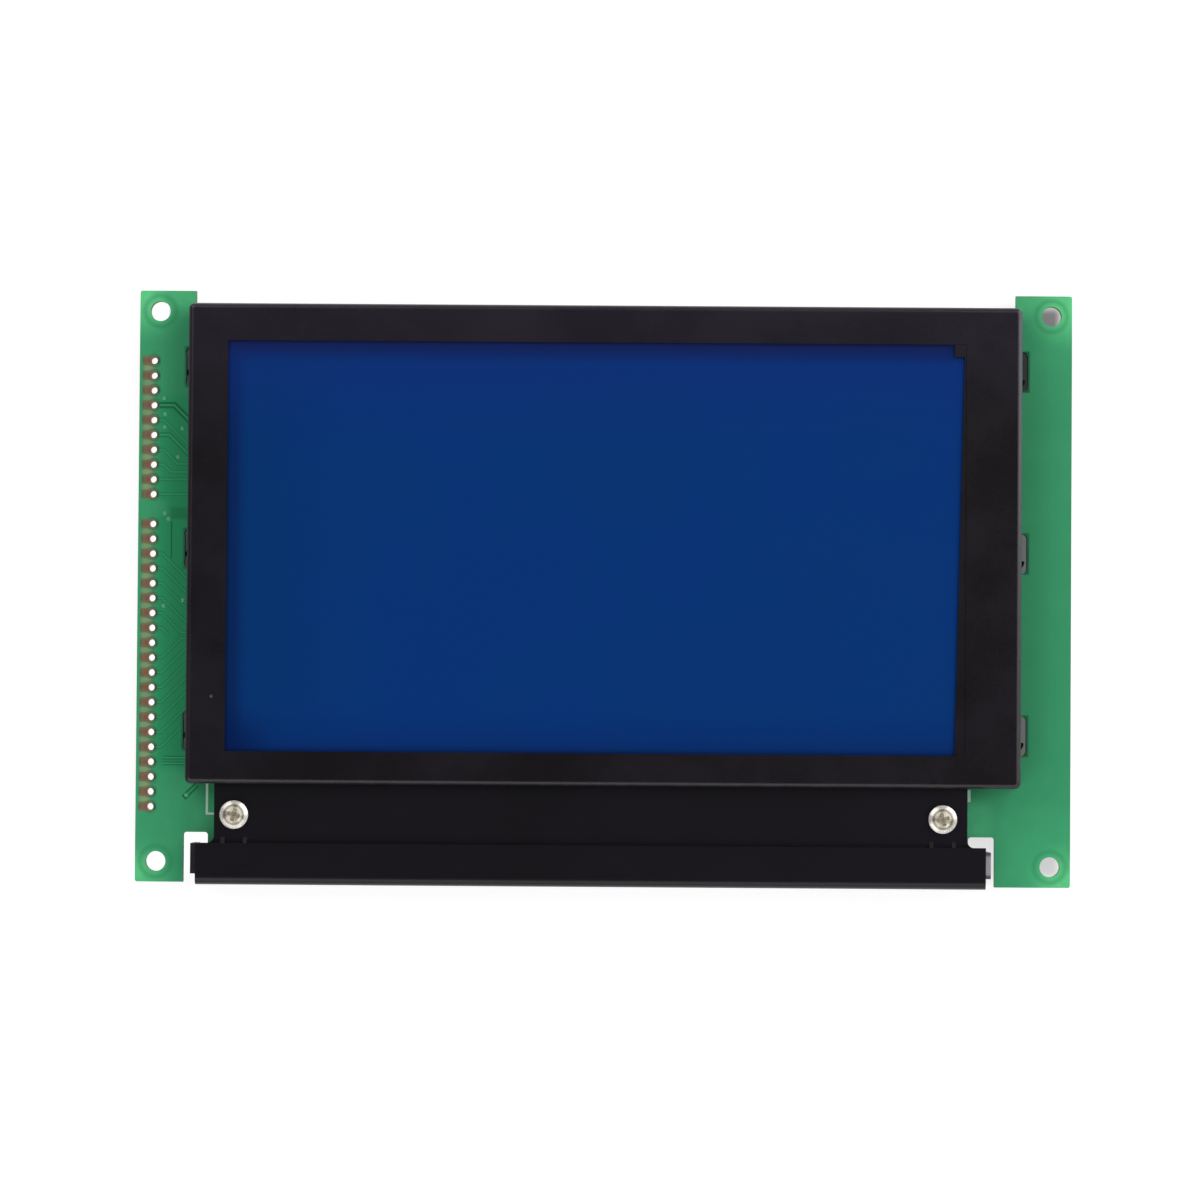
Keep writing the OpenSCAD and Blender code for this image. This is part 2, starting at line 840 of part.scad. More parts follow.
module controller_leads() {
  color("#c8c8c4")
    on_rear(controller_x, controller_y)
      for (half = [0, 180])
        rotate([0, 0, half]) {
          lead_row(controller_w / 2, rear_h, controller_long_leads, controller_pitch, controller_lead_w);
          rotate([0, 0, 90])
            lead_row(controller_l / 2, rear_h, controller_short_leads, controller_pitch, controller_lead_w);
        }
}

module display_memory() {
  color("#26262a") on_rear(memory_x, memory_y) package(memory_l, memory_w, rear_h);
}

module memory_leads() {
  color("#c8c8c4")
    on_rear(memory_x, memory_y)
      for (half = [0, 180])
        rotate([0, 0, half])
          lead_row(memory_w / 2, rear_h, memory_side_leads, memory_pitch, memory_lead_w);
}

module bias_amplifier() {
  color("#26262a") on_rear(amplifier_x, amplifier_y) package(amplifier_l, amplifier_w, amplifier_h);
}

module amplifier_leads() {
  color("#c8c8c4")
    on_rear(amplifier_x, amplifier_y)
      for (half = [0, 180])
        rotate([0, 0, half])
          lead_row(amplifier_w / 2, amplifier_h, amplifier_side_leads, amplifier_pitch, amplifier_lead_w);
}

// Epoxy cast over a bare chip: a low cap of a large ball
module driver_dome(x, y) {
  ball_r = (dome_r * dome_r + dome_h * dome_h) / (2 * dome_h);
  color("#1d1d1f")
    on_rear(x, y)
      rotate_extrude($fn = 128)
        intersection() {
          translate([0, dome_h - ball_r]) circle(ball_r, $fn = 256);
          square([dome_r + cut, dome_h + cut]);
        }
}

module column_driver_1() {
  driver_dome(window_x - driver_step, driver_row_y);
}

module column_driver_2() {
  driver_dome(window_x, driver_row_y);
}

module column_driver_3() {
  driver_dome(window_x + driver_step, driver_row_y);
}

module row_driver_1() {
  driver_dome(row_driver_x, driver_row_y - row_driver_step);
}

module row_driver_2() {
  driver_dome(row_driver_x, driver_row_y - 2 * row_driver_step);
}

module chip_capacitors() {
  color("#b59a72")
    for (i = [0 : capacitors - 1])
      translate([capacitor_x + i * chip_step - chip_w / 2, capacitor_y - chip_l / 2, -capacitor_h])
        cube([chip_w, chip_l, capacitor_h]);
}

module chip_resistors() {
  color("#2d2d30")
    for (i = [0 : resistors - 1])
      translate([resistor_x + i * chip_step - chip_w / 2, resistor_y - chip_l / 2, -resistor_h])
        cube([chip_w, chip_l, resistor_h]);
}

circuit_board();
header_pads();
bezel();
mask_film();
front_polarizer();
front_glass();
rear_glass();
rear_polarizer();
diffuser_sheet();
light_guide();
reflector_sheet();
panel_frame();
column_connector();
row_connector();
lamp_cover();
lamp_holder();
led_board();
led_chips();
feed_pins();
cover_screws();
cover_nuts();
controller();
controller_leads();
display_memory();
memory_leads();
bias_amplifier();
amplifier_leads();
column_driver_1();
column_driver_2();
column_driver_3();
row_driver_1();
row_driver_2();
chip_capacitors();
chip_resistors();
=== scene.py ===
import json
import math

import bmesh
import bpy
from mathutils import Matrix, Vector


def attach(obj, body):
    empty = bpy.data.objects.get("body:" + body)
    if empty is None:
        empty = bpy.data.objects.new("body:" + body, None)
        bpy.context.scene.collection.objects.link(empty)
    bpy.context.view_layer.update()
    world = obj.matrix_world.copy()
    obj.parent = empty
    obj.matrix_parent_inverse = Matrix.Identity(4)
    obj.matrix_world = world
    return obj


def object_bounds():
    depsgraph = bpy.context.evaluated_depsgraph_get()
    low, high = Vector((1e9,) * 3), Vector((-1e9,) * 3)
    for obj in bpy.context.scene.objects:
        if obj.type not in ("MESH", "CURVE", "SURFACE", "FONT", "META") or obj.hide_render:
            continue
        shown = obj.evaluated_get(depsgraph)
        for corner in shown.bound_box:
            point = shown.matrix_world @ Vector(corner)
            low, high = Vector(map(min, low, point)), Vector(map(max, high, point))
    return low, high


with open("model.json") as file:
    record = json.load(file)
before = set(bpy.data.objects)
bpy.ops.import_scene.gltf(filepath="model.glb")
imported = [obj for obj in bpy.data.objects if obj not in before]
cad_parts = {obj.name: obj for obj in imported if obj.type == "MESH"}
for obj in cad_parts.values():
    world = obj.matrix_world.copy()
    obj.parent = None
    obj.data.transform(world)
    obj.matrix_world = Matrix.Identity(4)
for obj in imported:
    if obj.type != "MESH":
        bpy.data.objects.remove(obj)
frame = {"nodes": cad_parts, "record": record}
cad_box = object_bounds()
nodes = frame["nodes"]
mounts = {mount["name"]: mount for mount in frame["record"]["mounts"]}

MM = 0.001          # metres in a millimetre


def box(node):
    """A node's lowest and highest corner, in millimetres."""
    corners = [nodes[node].matrix_world @ Vector(c) / MM for c in nodes[node].bound_box]
    return [[round(pick(c[k] for c in corners), 4) for k in range(3)] for pick in (min, max)]


def middle(node):
    """X and Y of the middle of a node, in millimetres."""
    low, high = box(node)
    return (low[0] + high[0]) / 2, (low[1] + high[1]) / 2


# Places and sizes in millimetres, most of them from the frame

(LEFT, LOWER, REAR), (RIGHT, UPPER, FRONT) = box("circuit_board")
FLOOR = round(cad_box[0].z / MM, 4)            # what the module lies on
HOLE_X = mounts["corner_holes"]["dims"]["spacing_x_mm"] / 2
HOLE_Y = mounts["corner_holes"]["dims"]["spacing_y_mm"] / 2
HEADER_X, HEADER_Y = (place / MM for place in mounts["header_row"]["pos_m"][:2])
PITCH = 2.54                                   # the header's grid
UPPER_PINS = 10                                # header holes above the place that is left free
FIRST_PIN = HEADER_Y + 15 * PITCH
FREE_PIN = FIRST_PIN - UPPER_PINS * PITCH
LAST_PIN = HEADER_Y - 15 * PITCH
BEZEL_X = 70.7                                 # the bezel's side walls
SLOT_HALF = 3.4                                # half the length of a slot for a tab of the bezel
SLOTS = [(y - SLOT_HALF, y + SLOT_HALF) for y in (37.5, 6.4, -24.7)]
HEAD_R = 2.4                                   # heads of the cover's screws
SCREW_Y = middle("cover_screws")[1]
SCREW_XS = (box("cover_screws")[0][0] + HEAD_R, box("cover_screws")[1][0] - HEAD_R)
CHIP_W, CHIP_PITCH = 1.25, 4.2                 # chip parts: width, and distance along their row
LAMP_POUR = (box("lamp_cover")[0][0] + 2.9, box("lamp_cover")[1][0] - 2.9), (-41.0, -29.5)
DRIVER_POUR = (42.5, 66.5), (-29.6, 19.8)
DOT = 0.5                                      # pitch of the display's dots
DOTS_X, DOTS_Y = 240, 128
FIELD_X, FIELD_Y = -1.6, 6.7                   # middle of the field of dots


def pin_y(i):
    """Y of a header hole, counted from the top."""
    return FIRST_PIN - PITCH * (i if i < UPPER_PINS else i + 1)


def chip_row(node):
    """The X of each chip part in a row, and the Y that they share."""
    low, high = box(node)
    first = low[0] + CHIP_W / 2
    count = round((high[0] - low[0] - CHIP_W) / CHIP_PITCH) + 1
    return [first + CHIP_PITCH * i for i in range(count)], (low[1] + high[1]) / 2


CAPACITOR_XS, CAPACITOR_Y = chip_row("chip_capacitors")
RESISTOR_XS, RESISTOR_Y = chip_row("chip_resistors")


# Colours and node trees

WHITE = (1.0, 1.0, 1.0, 1.0)


def srgb(r, g, b):
    """A colour as it reads on a screen, 0 to 255, as linear RGBA."""
    def line(c):
        c /= 255.0
        return c / 12.92 if c <= 0.04045 else ((c + 0.055) / 1.055) ** 2.4
    return (line(r), line(g), line(b), 1.0)


def toned(color, factor):
    """The same colour made lighter or darker."""
    return tuple(c * factor for c in color[:3]) + (1.0,)


class Tree:
    """A node tree, and the sums that the looks are made of."""

    def __init__(self, tree):
        self.tree = tree
        tree.nodes.clear()

    def node(self, kind, **settings):
        made = self.tree.nodes.new(kind)
        for name, value in settings.items():
            setattr(made, name, value)
        return made

    def put(self, socket, value):
        """Links a socket to an output, or sets it to a constant."""
        if isinstance(value, bpy.types.NodeSocket):
            self.tree.links.new(value, socket)
        else:
            socket.default_value = value

    def math(self, operation, a, b=0.0, clamp=False):
        made = self.node("ShaderNodeMath", operation=operation, use_clamp=clamp)
        self.put(made.inputs[0], a)
        self.put(made.inputs[1], b)
        return made.outputs[0]

    def times(self, product, *others):
        """The product of all that is given."""
        for other in others:
            product = self.math("MULTIPLY", product, other)
        return product

    def ramp(self, value, low, high, a=0.0, b=1.0, kind="SMOOTHSTEP"):
        """a below low, b above high, and a change from one to the other between."""
        made = self.node("ShaderNodeMapRange", interpolation_type=kind)
        given = {"Value": value, "From Min": low, "From Max": high, "To Min": a, "To Max": b}
        for name, number in given.items():
            self.put(made.inputs[name], number)
        return made.outputs["Result"]

    def split(self, vector):
        """X, Y and Z of a vector."""
        made = self.node("ShaderNodeSeparateXYZ")
        self.put(made.inputs[0], vector)
        return made.outputs


class Mat(Tree):
    """A node material. Its textures work on the object's own millimetres."""

    def __init__(self, name, **constants):
        self.material = bpy.data.materials.new(name)
        self.material.use_nodes = True
        super().__init__(self.material.node_tree)
        self.bsdf = self.node("ShaderNodeBsdfPrincipled")
        self.put(self.node("ShaderNodeOutputMaterial").inputs["Surface"], self.bsdf.outputs[0])
        for key, value in constants.items():
            self.set(key, value)
        scale = self.node("ShaderNodeVectorMath", operation="SCALE")
        scale.inputs["Scale"].default_value = 1.0 / MM
        self.put(scale.inputs[0], self.node("ShaderNodeTexCoord").outputs["Object"])
        self.at = scale.outputs[0]
        self.x, self.y, self.z = self.split(self.at)
        self.normal = None

    def set(self, name, value):
        """Sets an input of the surface. An underscore in its name stands for a space."""
        self.put(self.bsdf.inputs[name.replace("_", " ")], value)

    def band(self, value, low, high, soft):
        """1 between low and high, 0 outside, with soft ends."""
        rise = self.ramp(value, low - soft, low + soft)
        return self.times(rise, self.ramp(value, high - soft, high + soft, 1.0, 0.0))

    def patch(self, xs, ys, soft_x, soft_y):
        """1 inside a rectangle seen from the front, with soft edges."""
        return self.times(self.band(self.x, *xs, soft_x), self.band(self.y, *ys, soft_y))

    def noise(self, scale, detail=3.0, rough=0.5, stretch=None):
        made = self.node("ShaderNodeTexNoise")
        for name, value in (("Scale", scale), ("Detail", detail), ("Roughness", rough)):
            made.inputs[name].default_value = value
        vector = self.at
        if stretch:
            longer = self.node("ShaderNodeVectorMath", operation="MULTIPLY")
            self.put(longer.inputs[0], self.at)
            longer.inputs[1].default_value = stretch
            vector = longer.outputs[0]
        self.put(made.inputs["Vector"], vector)
        return made.outputs[0]

    def vary(self, noise, a=0.0, b=1.0):
        """a where a noise is low, b where it is high."""
        return self.ramp(noise, 0.3, 0.7, a, b)

    def cells(self, scale):
        """Distance from the nearest of many scattered points."""
        made = self.node("ShaderNodeTexVoronoi")
        made.inputs["Scale"].default_value = scale
        self.put(made.inputs["Vector"], self.at)
        return made.outputs["Distance"]

    def mix(self, factor, a, b):
        """Colour a where factor is 0, colour b where it is 1."""
        made = self.node("ShaderNodeMix", data_type="RGBA")
        colors = [socket for socket in made.inputs if socket.type == "RGBA"]
        for socket, value in zip([made.inputs[0]] + colors, (factor, a, b)):
            self.put(socket, value)
        return next(socket for socket in made.outputs if socket.type == "RGBA")

    def over(self, base, color, mask, strength):
        """A colour laid over base where mask is 1."""
        return self.mix(self.times(mask, strength), base, color)

    def facing(self):
        """X, Y and Z of the way that the surface faces."""
        return self.split(self.node("ShaderNodeNewGeometry").outputs["Normal"])

    def length(self, dx, dy):
        return self.math("SQRT", self.math("ADD", self.times(dx, dx), self.times(dy, dy)))

    def distance(self, x, y):
        """Distance from a point, seen from the front."""
        return self.length(self.math("SUBTRACT", self.x, x), self.math("SUBTRACT", self.y, y))

    def off_pin(self):
        """How far along Y the nearest header hole's middle is."""
        return self.math("PINGPONG", self.math("SUBTRACT", self.y, FIRST_PIN), PITCH / 2)

    def bump(self, height, strength, depth_mm):
        made = self.node("ShaderNodeBump")
        made.inputs["Strength"].default_value = strength
        made.inputs["Distance"].default_value = depth_mm * MM
        self.put(made.inputs["Height"], height)
        if self.normal is not None:
            self.put(made.inputs["Normal"], self.normal)
        self.normal = made.outputs[0]
        self.set("Normal", self.normal)

    def color(self, value):
        self.set("Base_Color", value)

    def rough(self, value):
        self.set("Roughness", value)


# Materials

def plain_mat(name, base, spread, rough, grain, bump, **constants):
    """A moulded or cast surface: two near colours in soft clouds, fine grain, uneven gloss."""
    m = Mat(name, **constants)
    cloud = m.noise(0.35, 4.0)
    fine = m.noise(grain, 3.0, 0.6)
    half = m.times(m.math("ADD", cloud, fine), 0.5)
    m.color(m.mix(half, toned(base, 1 - spread), toned(base, 1 + spread)))
    m.rough(m.vary(fine, rough - 0.05, rough + 0.05))
    if bump:
        m.bump(fine, 0.25, bump)
    return m


def board_copper(m, nz):
    """Mask over copper and over bare laminate, on the front and on the rear."""
    # the front: copper, apart from the strip of tracks between the header and the bezel
    wing = LEFT + 10.7, LEFT + 12.7
    strip = m.times(m.ramp(m.x, HEADER_X, HEADER_X + 1.8), m.band(m.y, -31.3, 32.6, 1.4),
                    m.ramp(m.x, *wing, 1.0, 0.0))
    link = m.times(m.ramp(m.x, HEADER_X + 1.8, HEADER_X + 3.0, 1.0, 0.0),
                   m.band(m.y, FREE_PIN - 1.1, FREE_PIN + 1.5, 0.5))
    copper = m.math("SUBTRACT", 1.0, m.math("SUBTRACT", strip, link, True), True)
    face = m.mix(copper, srgb(33, 143, 93), srgb(54, 150, 102))
    dark = m.patch((HEADER_X + 3.0, wing[0]), (FREE_PIN - 1.7, FREE_PIN + 0.3), 0.3, 0.35)
    face = m.over(face, srgb(24, 108, 62), dark, 0.6)
    # the rear: bare laminate, with copper along the lamp and under the drivers on the right
    pours = m.math("MAXIMUM", m.patch(*LAMP_POUR, 0.15, 0.15), m.patch(*DRIVER_POUR, 0.15, 0.15))
    rear = m.mix(pours, srgb(33, 124, 82), srgb(50, 146, 100))
    face = m.mix(m.ramp(nz, -0.6, -0.4, 1.0, 0.0), face, rear)
    # painted shade of the bezel: the right wing is a little darker along its middle
    wing_shade = m.times(m.ramp(m.x, RIGHT - 13.7, RIGHT - 7.7), m.band(m.y, -36.0, 36.0, 5.0))
    return m.over(face, srgb(46, 136, 92), wing_shade, 0.6)


def board_painted_light(m, face, nz):
    """Painted light: a painted glow along the board's top edge and round its corners, and painted spill light
    beside the ends of the lamp cover.
    """
    corners = ((LEFT, UPPER, 9.5, 1.15), (RIGHT, UPPER, 10.5, 1.15),
               (LEFT, LOWER, 8.0, 1.0), (RIGHT, LOWER, 9.0, 1.0))
    # painted glow along the top edge and at the four corners of the board
    painted_glow = m.ramp(m.y, UPPER - 6.0, UPPER, 0.0, 0.6)
    for x, y, reach, bright in corners:
        painted_glow = m.math("MAXIMUM", painted_glow, m.ramp(m.distance(x, y), 0.5, reach, bright, 0.0))
    face = m.over(face, srgb(98, 208, 136), painted_glow, 0.8)
    # painted spill light beside the ends of the lamp cover, lifting the shade that the cover casts
    painted_spill = srgb(84, 196, 138)
    front = m.ramp(nz, 0.4, 0.6)
    right = m.times(m.ramp(m.x, 63.0, 67.5, 1.0, 0.0), m.band(m.y, -42.5, -35.5, 1.5),
                    m.ramp(m.x, 50.0, 55.0))
    left = m.times(m.ramp(m.x, -71.0, -67.0), m.band(m.y, -43.5, -36.0, 1.2),
                   m.ramp(m.x, -62.0, -60.0, 1.0, 0.0))
    return face, ((painted_spill, m.times(right, front), 0.85), (painted_spill, m.times(left, front), 0.5))


def board_rims(m, face):
    """Rings round the mounting holes, bare laminate round the header holes, painted shade on the rims of the
    tab slots.
    """
    for x in (-HOLE_X, HOLE_X):
        for y in (-HOLE_Y, HOLE_Y):
            face = m.over(face, srgb(28, 118, 74), m.band(m.distance(x, y), 2.3, 3.0, 0.4), 0.42)
    free = m.band(m.y, FREE_PIN - 1.9, FREE_PIN + 1.9, 0.5)
    row = m.math("SUBTRACT", m.band(m.y, LAST_PIN + 0.5, FIRST_PIN - 0.3, 0.5), free, True)
    between = m.times(m.band(m.x, LEFT + 0.7, HEADER_X - 0.1, 0.4), row)
    face = m.over(face, srgb(142, 152, 114), between, 0.75)
    far = m.length(m.off_pin(), m.math("SUBTRACT", m.x, HEADER_X))
    gap = m.band(m.y, FREE_PIN - 1.3, FREE_PIN + 1.3, 0.1)
    halo = m.times(m.ramp(far, 0.8, 1.35, 1.0, 0.0), m.band(m.y, LAST_PIN - 1.3, FIRST_PIN + 1.5, 0.3),
                   m.math("SUBTRACT", 1.0, gap))
    face = m.over(face, srgb(30, 88, 62), halo, 0.7)
    # painted shade on the rims of the tab slots, lighter on the left
    left = m.times(m.band(m.x, -BEZEL_X - 1.3, -BEZEL_X + 1.2, 0.3), 0.75)
    across = m.math("MAXIMUM", left, m.band(m.x, BEZEL_X - 1.2, BEZEL_X + 1.8, 0.2))
    for low, high in SLOTS:
        slot_shade = m.times(across, m.band(m.y, low - 0.15, high + 0.15, 0.12))
        face = m.mix(slot_shade, face, srgb(20, 84, 56))
    return face


def board_mat():
    """Green mask over copper and bare laminate, with laminate showing on the cut edges."""
    m = Mat("board_green", Specular_IOR_Level=0.25)
    nz = m.facing()[2]
    # painted glow and painted spill light go into the board's colour here
    face, painted_spills = board_painted_light(m, board_copper(m, nz), nz)
    face = board_rims(m, face)
    for spill_light in painted_spills:
        face = m.over(face, *spill_light)
    # woven glass under the mask
    thread = 13.0
    weave = m.times(m.math("SINE", m.times(m.x, thread)), m.math("SINE", m.times(m.y, thread)))
    clouds = m.noise(0.22, 4.0, 0.55)
    face = m.mix(m.ramp(clouds, 0.35, 0.7, 0.0, 0.28), face, srgb(38, 132, 88))
    face = m.mix(m.ramp(weave, -0.9, 0.9, 0.0, 0.04), face, srgb(110, 200, 145))
    # cut edges: tan laminate in thin layers, green inside the tab slots
    layers = m.math("SINE", m.times(m.z, 31.0))
    edge = m.mix(m.ramp(layers, -0.8, 0.8), srgb(112, 116, 76), srgb(150, 154, 112))
    beside = m.band(m.math("ABSOLUTE", m.x), BEZEL_X - 1.7, BEZEL_X + 2.3, 0.3)
    edge = m.mix(m.times(beside, m.band(m.y, -40.0, 43.0, 0.5)), edge, srgb(20, 92, 60))
    side = m.ramp(m.math("ABSOLUTE", nz), 0.35, 0.6, 1.0, 0.0)
    m.color(m.mix(side, face, edge))
    fine = m.noise(3.0, 4.0, 0.6)
    m.rough(m.math("ADD", m.vary(fine, 0.36, 0.5), m.times(side, 0.25)))
    m.bump(weave, 0.10, 0.01)
    m.bump(fine, 0.12, 0.02)
    return m


def black_paint(name):
    """Black paint on sheet steel: satin, faintly violet, worn thinner and paler along the folds, with a
    painted sheen on the folds and a painted highlight on the right-hand one.
    """
    m = Mat(name)
    clouds = m.noise(0.06, 5.0, 0.6)
    peel = m.noise(1.6, 2.0, 0.5)
    grit = m.noise(14.0, 2.0, 0.6)
    base = m.mix(m.vary(clouds), srgb(13, 10, 15), srgb(17, 13, 20))
    base = m.over(base, srgb(33, 28, 42), m.ramp(m.y, 30.0, 47.0), 0.5)
    dust = m.times(m.ramp(m.cells(0.9), 0.0, 0.07, 1.0, 0.0), m.ramp(m.noise(0.21, 1.0), 0.62, 0.7, 0.0, 0.4))
    base = m.mix(dust, base, srgb(70, 68, 72))
    speck = -66.3, -18.9            # a pale speck on the left border
    base = m.over(base, srgb(80, 80, 84), m.ramp(m.distance(*speck), 0.12, 0.38, 1.0, 0.0), 0.8)
    nx, _, nz = m.facing()
    # paler along the folds that face up, down and right: partly wear, partly a painted sheen; the left-hand
    # fold is left out
    wear_and_sheen = m.times(m.band(nz, 0.25, 0.93, 0.06), m.ramp(m.noise(0.5, 4.0, 0.7), 0.42, 0.62, 0.1, 0.35),
                   m.ramp(nx, -0.5, -0.15))
    base = m.mix(wear_and_sheen, base, srgb(46, 44, 49))
    # a painted highlight on the right-hand fold, brighter towards the top
    painted_fold_highlight = m.times(m.ramp(nx, 0.2, 0.5), m.ramp(nz, 0.15, 0.4), m.ramp(m.y, -24.0, 34.0, 0.0, 0.5))
    m.color(m.mix(painted_fold_highlight, base, srgb(92, 96, 106)))
    gloss = m.math("ADD", m.vary(clouds, 0.24, 0.30), m.vary(grit, 0.0, 0.04))
    m.rough(m.math("ADD", gloss, m.ramp(nx, -0.6, -0.2, 0.12, 0.0)))
    m.set("Specular_IOR_Level", m.ramp(nx, -0.6, -0.1, 0.2, 0.5))
    m.bump(peel, 0.05, 0.02)
    m.bump(grit, 0.06, 0.004)
    return m


def display_mat():
    """Blue polarizer over a dot matrix: a painted shadow of the bezel darkens the border beside the field of
    dots, and a faint grid lies in the field.
    """
    m = Mat("display_blue", Specular_IOR_Level=0.22)
    left, right = FIELD_X - DOTS_X * DOT / 2, FIELD_X + DOTS_X * DOT / 2
    lower, upper = FIELD_Y - DOTS_Y * DOT / 2, FIELD_Y + DOTS_Y * DOT / 2
    soft = 1.3
    # painted shadow of the bezel: darker beside the field of dots on the left, above it and in a thin strip
    # below it
    inside = m.times(m.ramp(m.x, left - soft, left + soft), m.band(m.y, lower - 2.0, upper, soft))
    field = m.mix(m.ramp(m.x, -58.0, -42.0, 0.6, 0.0), srgb(6, 49, 113), srgb(5, 47, 99))
    tide = m.noise(0.045, 3.0, 0.5)
    field = m.mix(m.ramp(tide, 0.35, 0.65, 0.0, 0.35), field, srgb(5, 51, 105))
    base = m.mix(inside, srgb(7, 35, 83), field)
    base = m.over(base, srgb(15, 43, 113), m.ramp(m.y, 22.0, 39.0), 0.5)
    # a painted shadow of the bezel along the top of the window
    base = m.mix(m.ramp(m.y, 38.0, 42.0), base, srgb(20, 31, 79))
    corner = -64.0, -28.2           # about the window's lower left corner
    base = m.over(base, srgb(7, 39, 97), m.ramp(m.y, corner[1], corner[1] + 8.2, 1.0, 0.0), 0.6)
    base = m.mix(m.ramp(m.distance(*corner), 1.0, 10.0, 0.75, 0.0), base, srgb(3, 24, 70))
    # gaps between the dots
    gaps = []
    for place, start in ((m.x, left), (m.y, lower)):
        off = m.math("PINGPONG", m.math("SUBTRACT", place, start), DOT / 2)
        gaps.append(m.ramp(off, 0.02, 0.05, 1.0, 0.0))
    matrix = m.patch((left, right), (lower, upper), 0.02, 0.02)
    m.color(m.over(base, srgb(2, 30, 74), m.times(m.math("MAXIMUM", *gaps), matrix), 0.07))
    fine = m.noise(22.0, 2.0)
    m.rough(m.vary(fine, 0.16, 0.22))
    m.bump(fine, 0.03, 0.002)
    return m


def lamp_mat():
    """Black moulding with a fine spark-eroded grain, a few scuffed streaks and a painted highlight along its
    lower outer edge.
    """
    m = Mat("lamp_black", Specular_IOR_Level=0.35)
    grain = m.noise(9.0, 3.0, 0.65)
    clouds = m.noise(0.05, 4.0, 0.6)
    base = m.mix(m.vary(clouds), srgb(10, 7, 13), srgb(14, 10, 18))
    rub = m.noise(0.5, 5.0, 0.7, (0.25, 2.2, 1.0))
    base = m.mix(m.ramp(rub, 0.66, 0.78, 0.0, 0.2), base, srgb(48, 46, 50))
    # a painted highlight: paler along the lower outer edge
    m.color(m.mix(m.ramp(m.y, LOWER - 0.1, LOWER + 1.1, 0.25, 0.0), base, srgb(30, 29, 34)))
    m.rough(m.math("ADD", m.vary(grain, 0.28, 0.36), m.ramp(rub, 0.6, 0.8, 0.0, -0.05)))
    m.bump(grain, 0.12, 0.008)
    return m


def holder_mat():
    """Grey-black moulding, paler at its bare right end, with dark marks at that end's corners."""
    m = Mat("holder_grey", Specular_IOR_Level=0.4)
    grain = m.noise(7.0, 3.0, 0.6)
    bare = box("lamp_cover")[1][0]
    base = m.mix(m.ramp(m.x, bare - 0.5, bare + 0.3), srgb(18, 16, 21), srgb(168, 160, 170))
    marks = m.math("MAXIMUM", m.ramp(m.y, -45.4, -44.8), m.ramp(m.y, -48.6, -48.1, 1.0, 0.0))
    base = m.over(base, srgb(34, 28, 34), marks, 0.8)
    m.color(m.mix(m.vary(grain, 0.0, 0.15), base, srgb(30, 28, 33)))
    m.rough(m.vary(grain, 0.42, 0.55))
    m.bump(grain, 0.2, 0.012)
    return m


def copper_mat():
    """Bare copper pads gone brown, redder beside the hole, paler towards the edge of the board."""
    m = Mat("pad_copper", Metallic=0.35)
    tarnish = m.noise(0.9, 5.0, 0.65)
    fine = m.noise(6.0, 3.0, 0.6)
    base = m.mix(m.vary(tarnish), srgb(122, 98, 74), srgb(132, 116, 92))
    base = m.mix(m.ramp(fine, 0.45, 0.75, 0.0, 0.3), base, srgb(92, 72, 56))
    base = m.mix(m.ramp(m.x, HEADER_X - 1.6, HEADER_X - 0.8, 0.0, 0.75), base, srgb(140, 74, 58))
    base = m.mix(m.ramp(m.x, HEADER_X - 2.0, HEADER_X - 1.2, 0.8, 0.0), base, srgb(84, 98, 72))
    base = m.mix(m.ramp(m.x, HEADER_X - 0.3, HEADER_X + 0.4, 0.0, 0.9), base, srgb(38, 84, 60))
    base = m.mix(m.ramp(m.off_pin(), 0.22, 0.75, 0.0, 0.85), base, srgb(112, 122, 84))
    upright = m.ramp(m.math("ABSOLUTE", m.facing()[2]), 0.3, 0.6, 0.6, 0.0)
    m.color(m.mix(upright, base, srgb(96, 78, 60)))
    m.rough(m.vary(fine, 0.4, 0.62))
    m.bump(fine, 0.25, 0.01)
    return m


def metal_mat(name, base, dull, rough):
    """Plated or drawn metal with a slightly uneven, tarnished face."""
    m = Mat(name, Metallic=1.0)
    stain = m.noise(0.8, 4.0, 0.6)
    fine = m.noise(10.0, 3.0, 0.6)
    m.color(m.mix(m.ramp(stain, 0.35, 0.7, 0.0, 0.8), base, dull))
    m.rough(m.vary(fine, rough - 0.06, rough + 0.08))
    m.bump(fine, 0.12, 0.006)
    return m


def screw_mat():
    """Nickel plate, yellowed round the recess, with a darker ring at the edge of the flat and painted light
    in the recess.
    """
    m = Mat("screw_nickel", Metallic=0.6)
    turned = m.noise(5.0, 3.0, 0.6)
    stain = m.noise(1.3, 3.0, 0.6)
    radius = m.math("MINIMUM", *(m.distance(x, SCREW_Y) for x in SCREW_XS))
    base = m.mix(m.ramp(radius, 1.6, 1.9, 1.0, 0.0), srgb(238, 234, 228), srgb(182, 175, 160))
    base = m.over(base, srgb(98, 94, 82), m.band(radius, 1.4, 1.78, 0.2), 0.8)
    base = m.mix(m.ramp(stain, 0.4, 0.7, 0.0, 0.3), base, srgb(172, 162, 138))
    deep, shallow = 7.55, 8.25      # heights between which the recess is painted lighter
    # painted light in the recess, lifting its shade
    recess = m.times(m.ramp(m.z, deep, shallow, 1.0, 0.0), m.ramp(radius, 0.9, 1.3, 1.0, 0.0))
    m.color(m.over(base, srgb(236, 230, 214), recess, 0.9))
    m.rough(m.vary(turned, 0.2, 0.32))
    m.bump(turned, 0.1, 0.01)
    return m


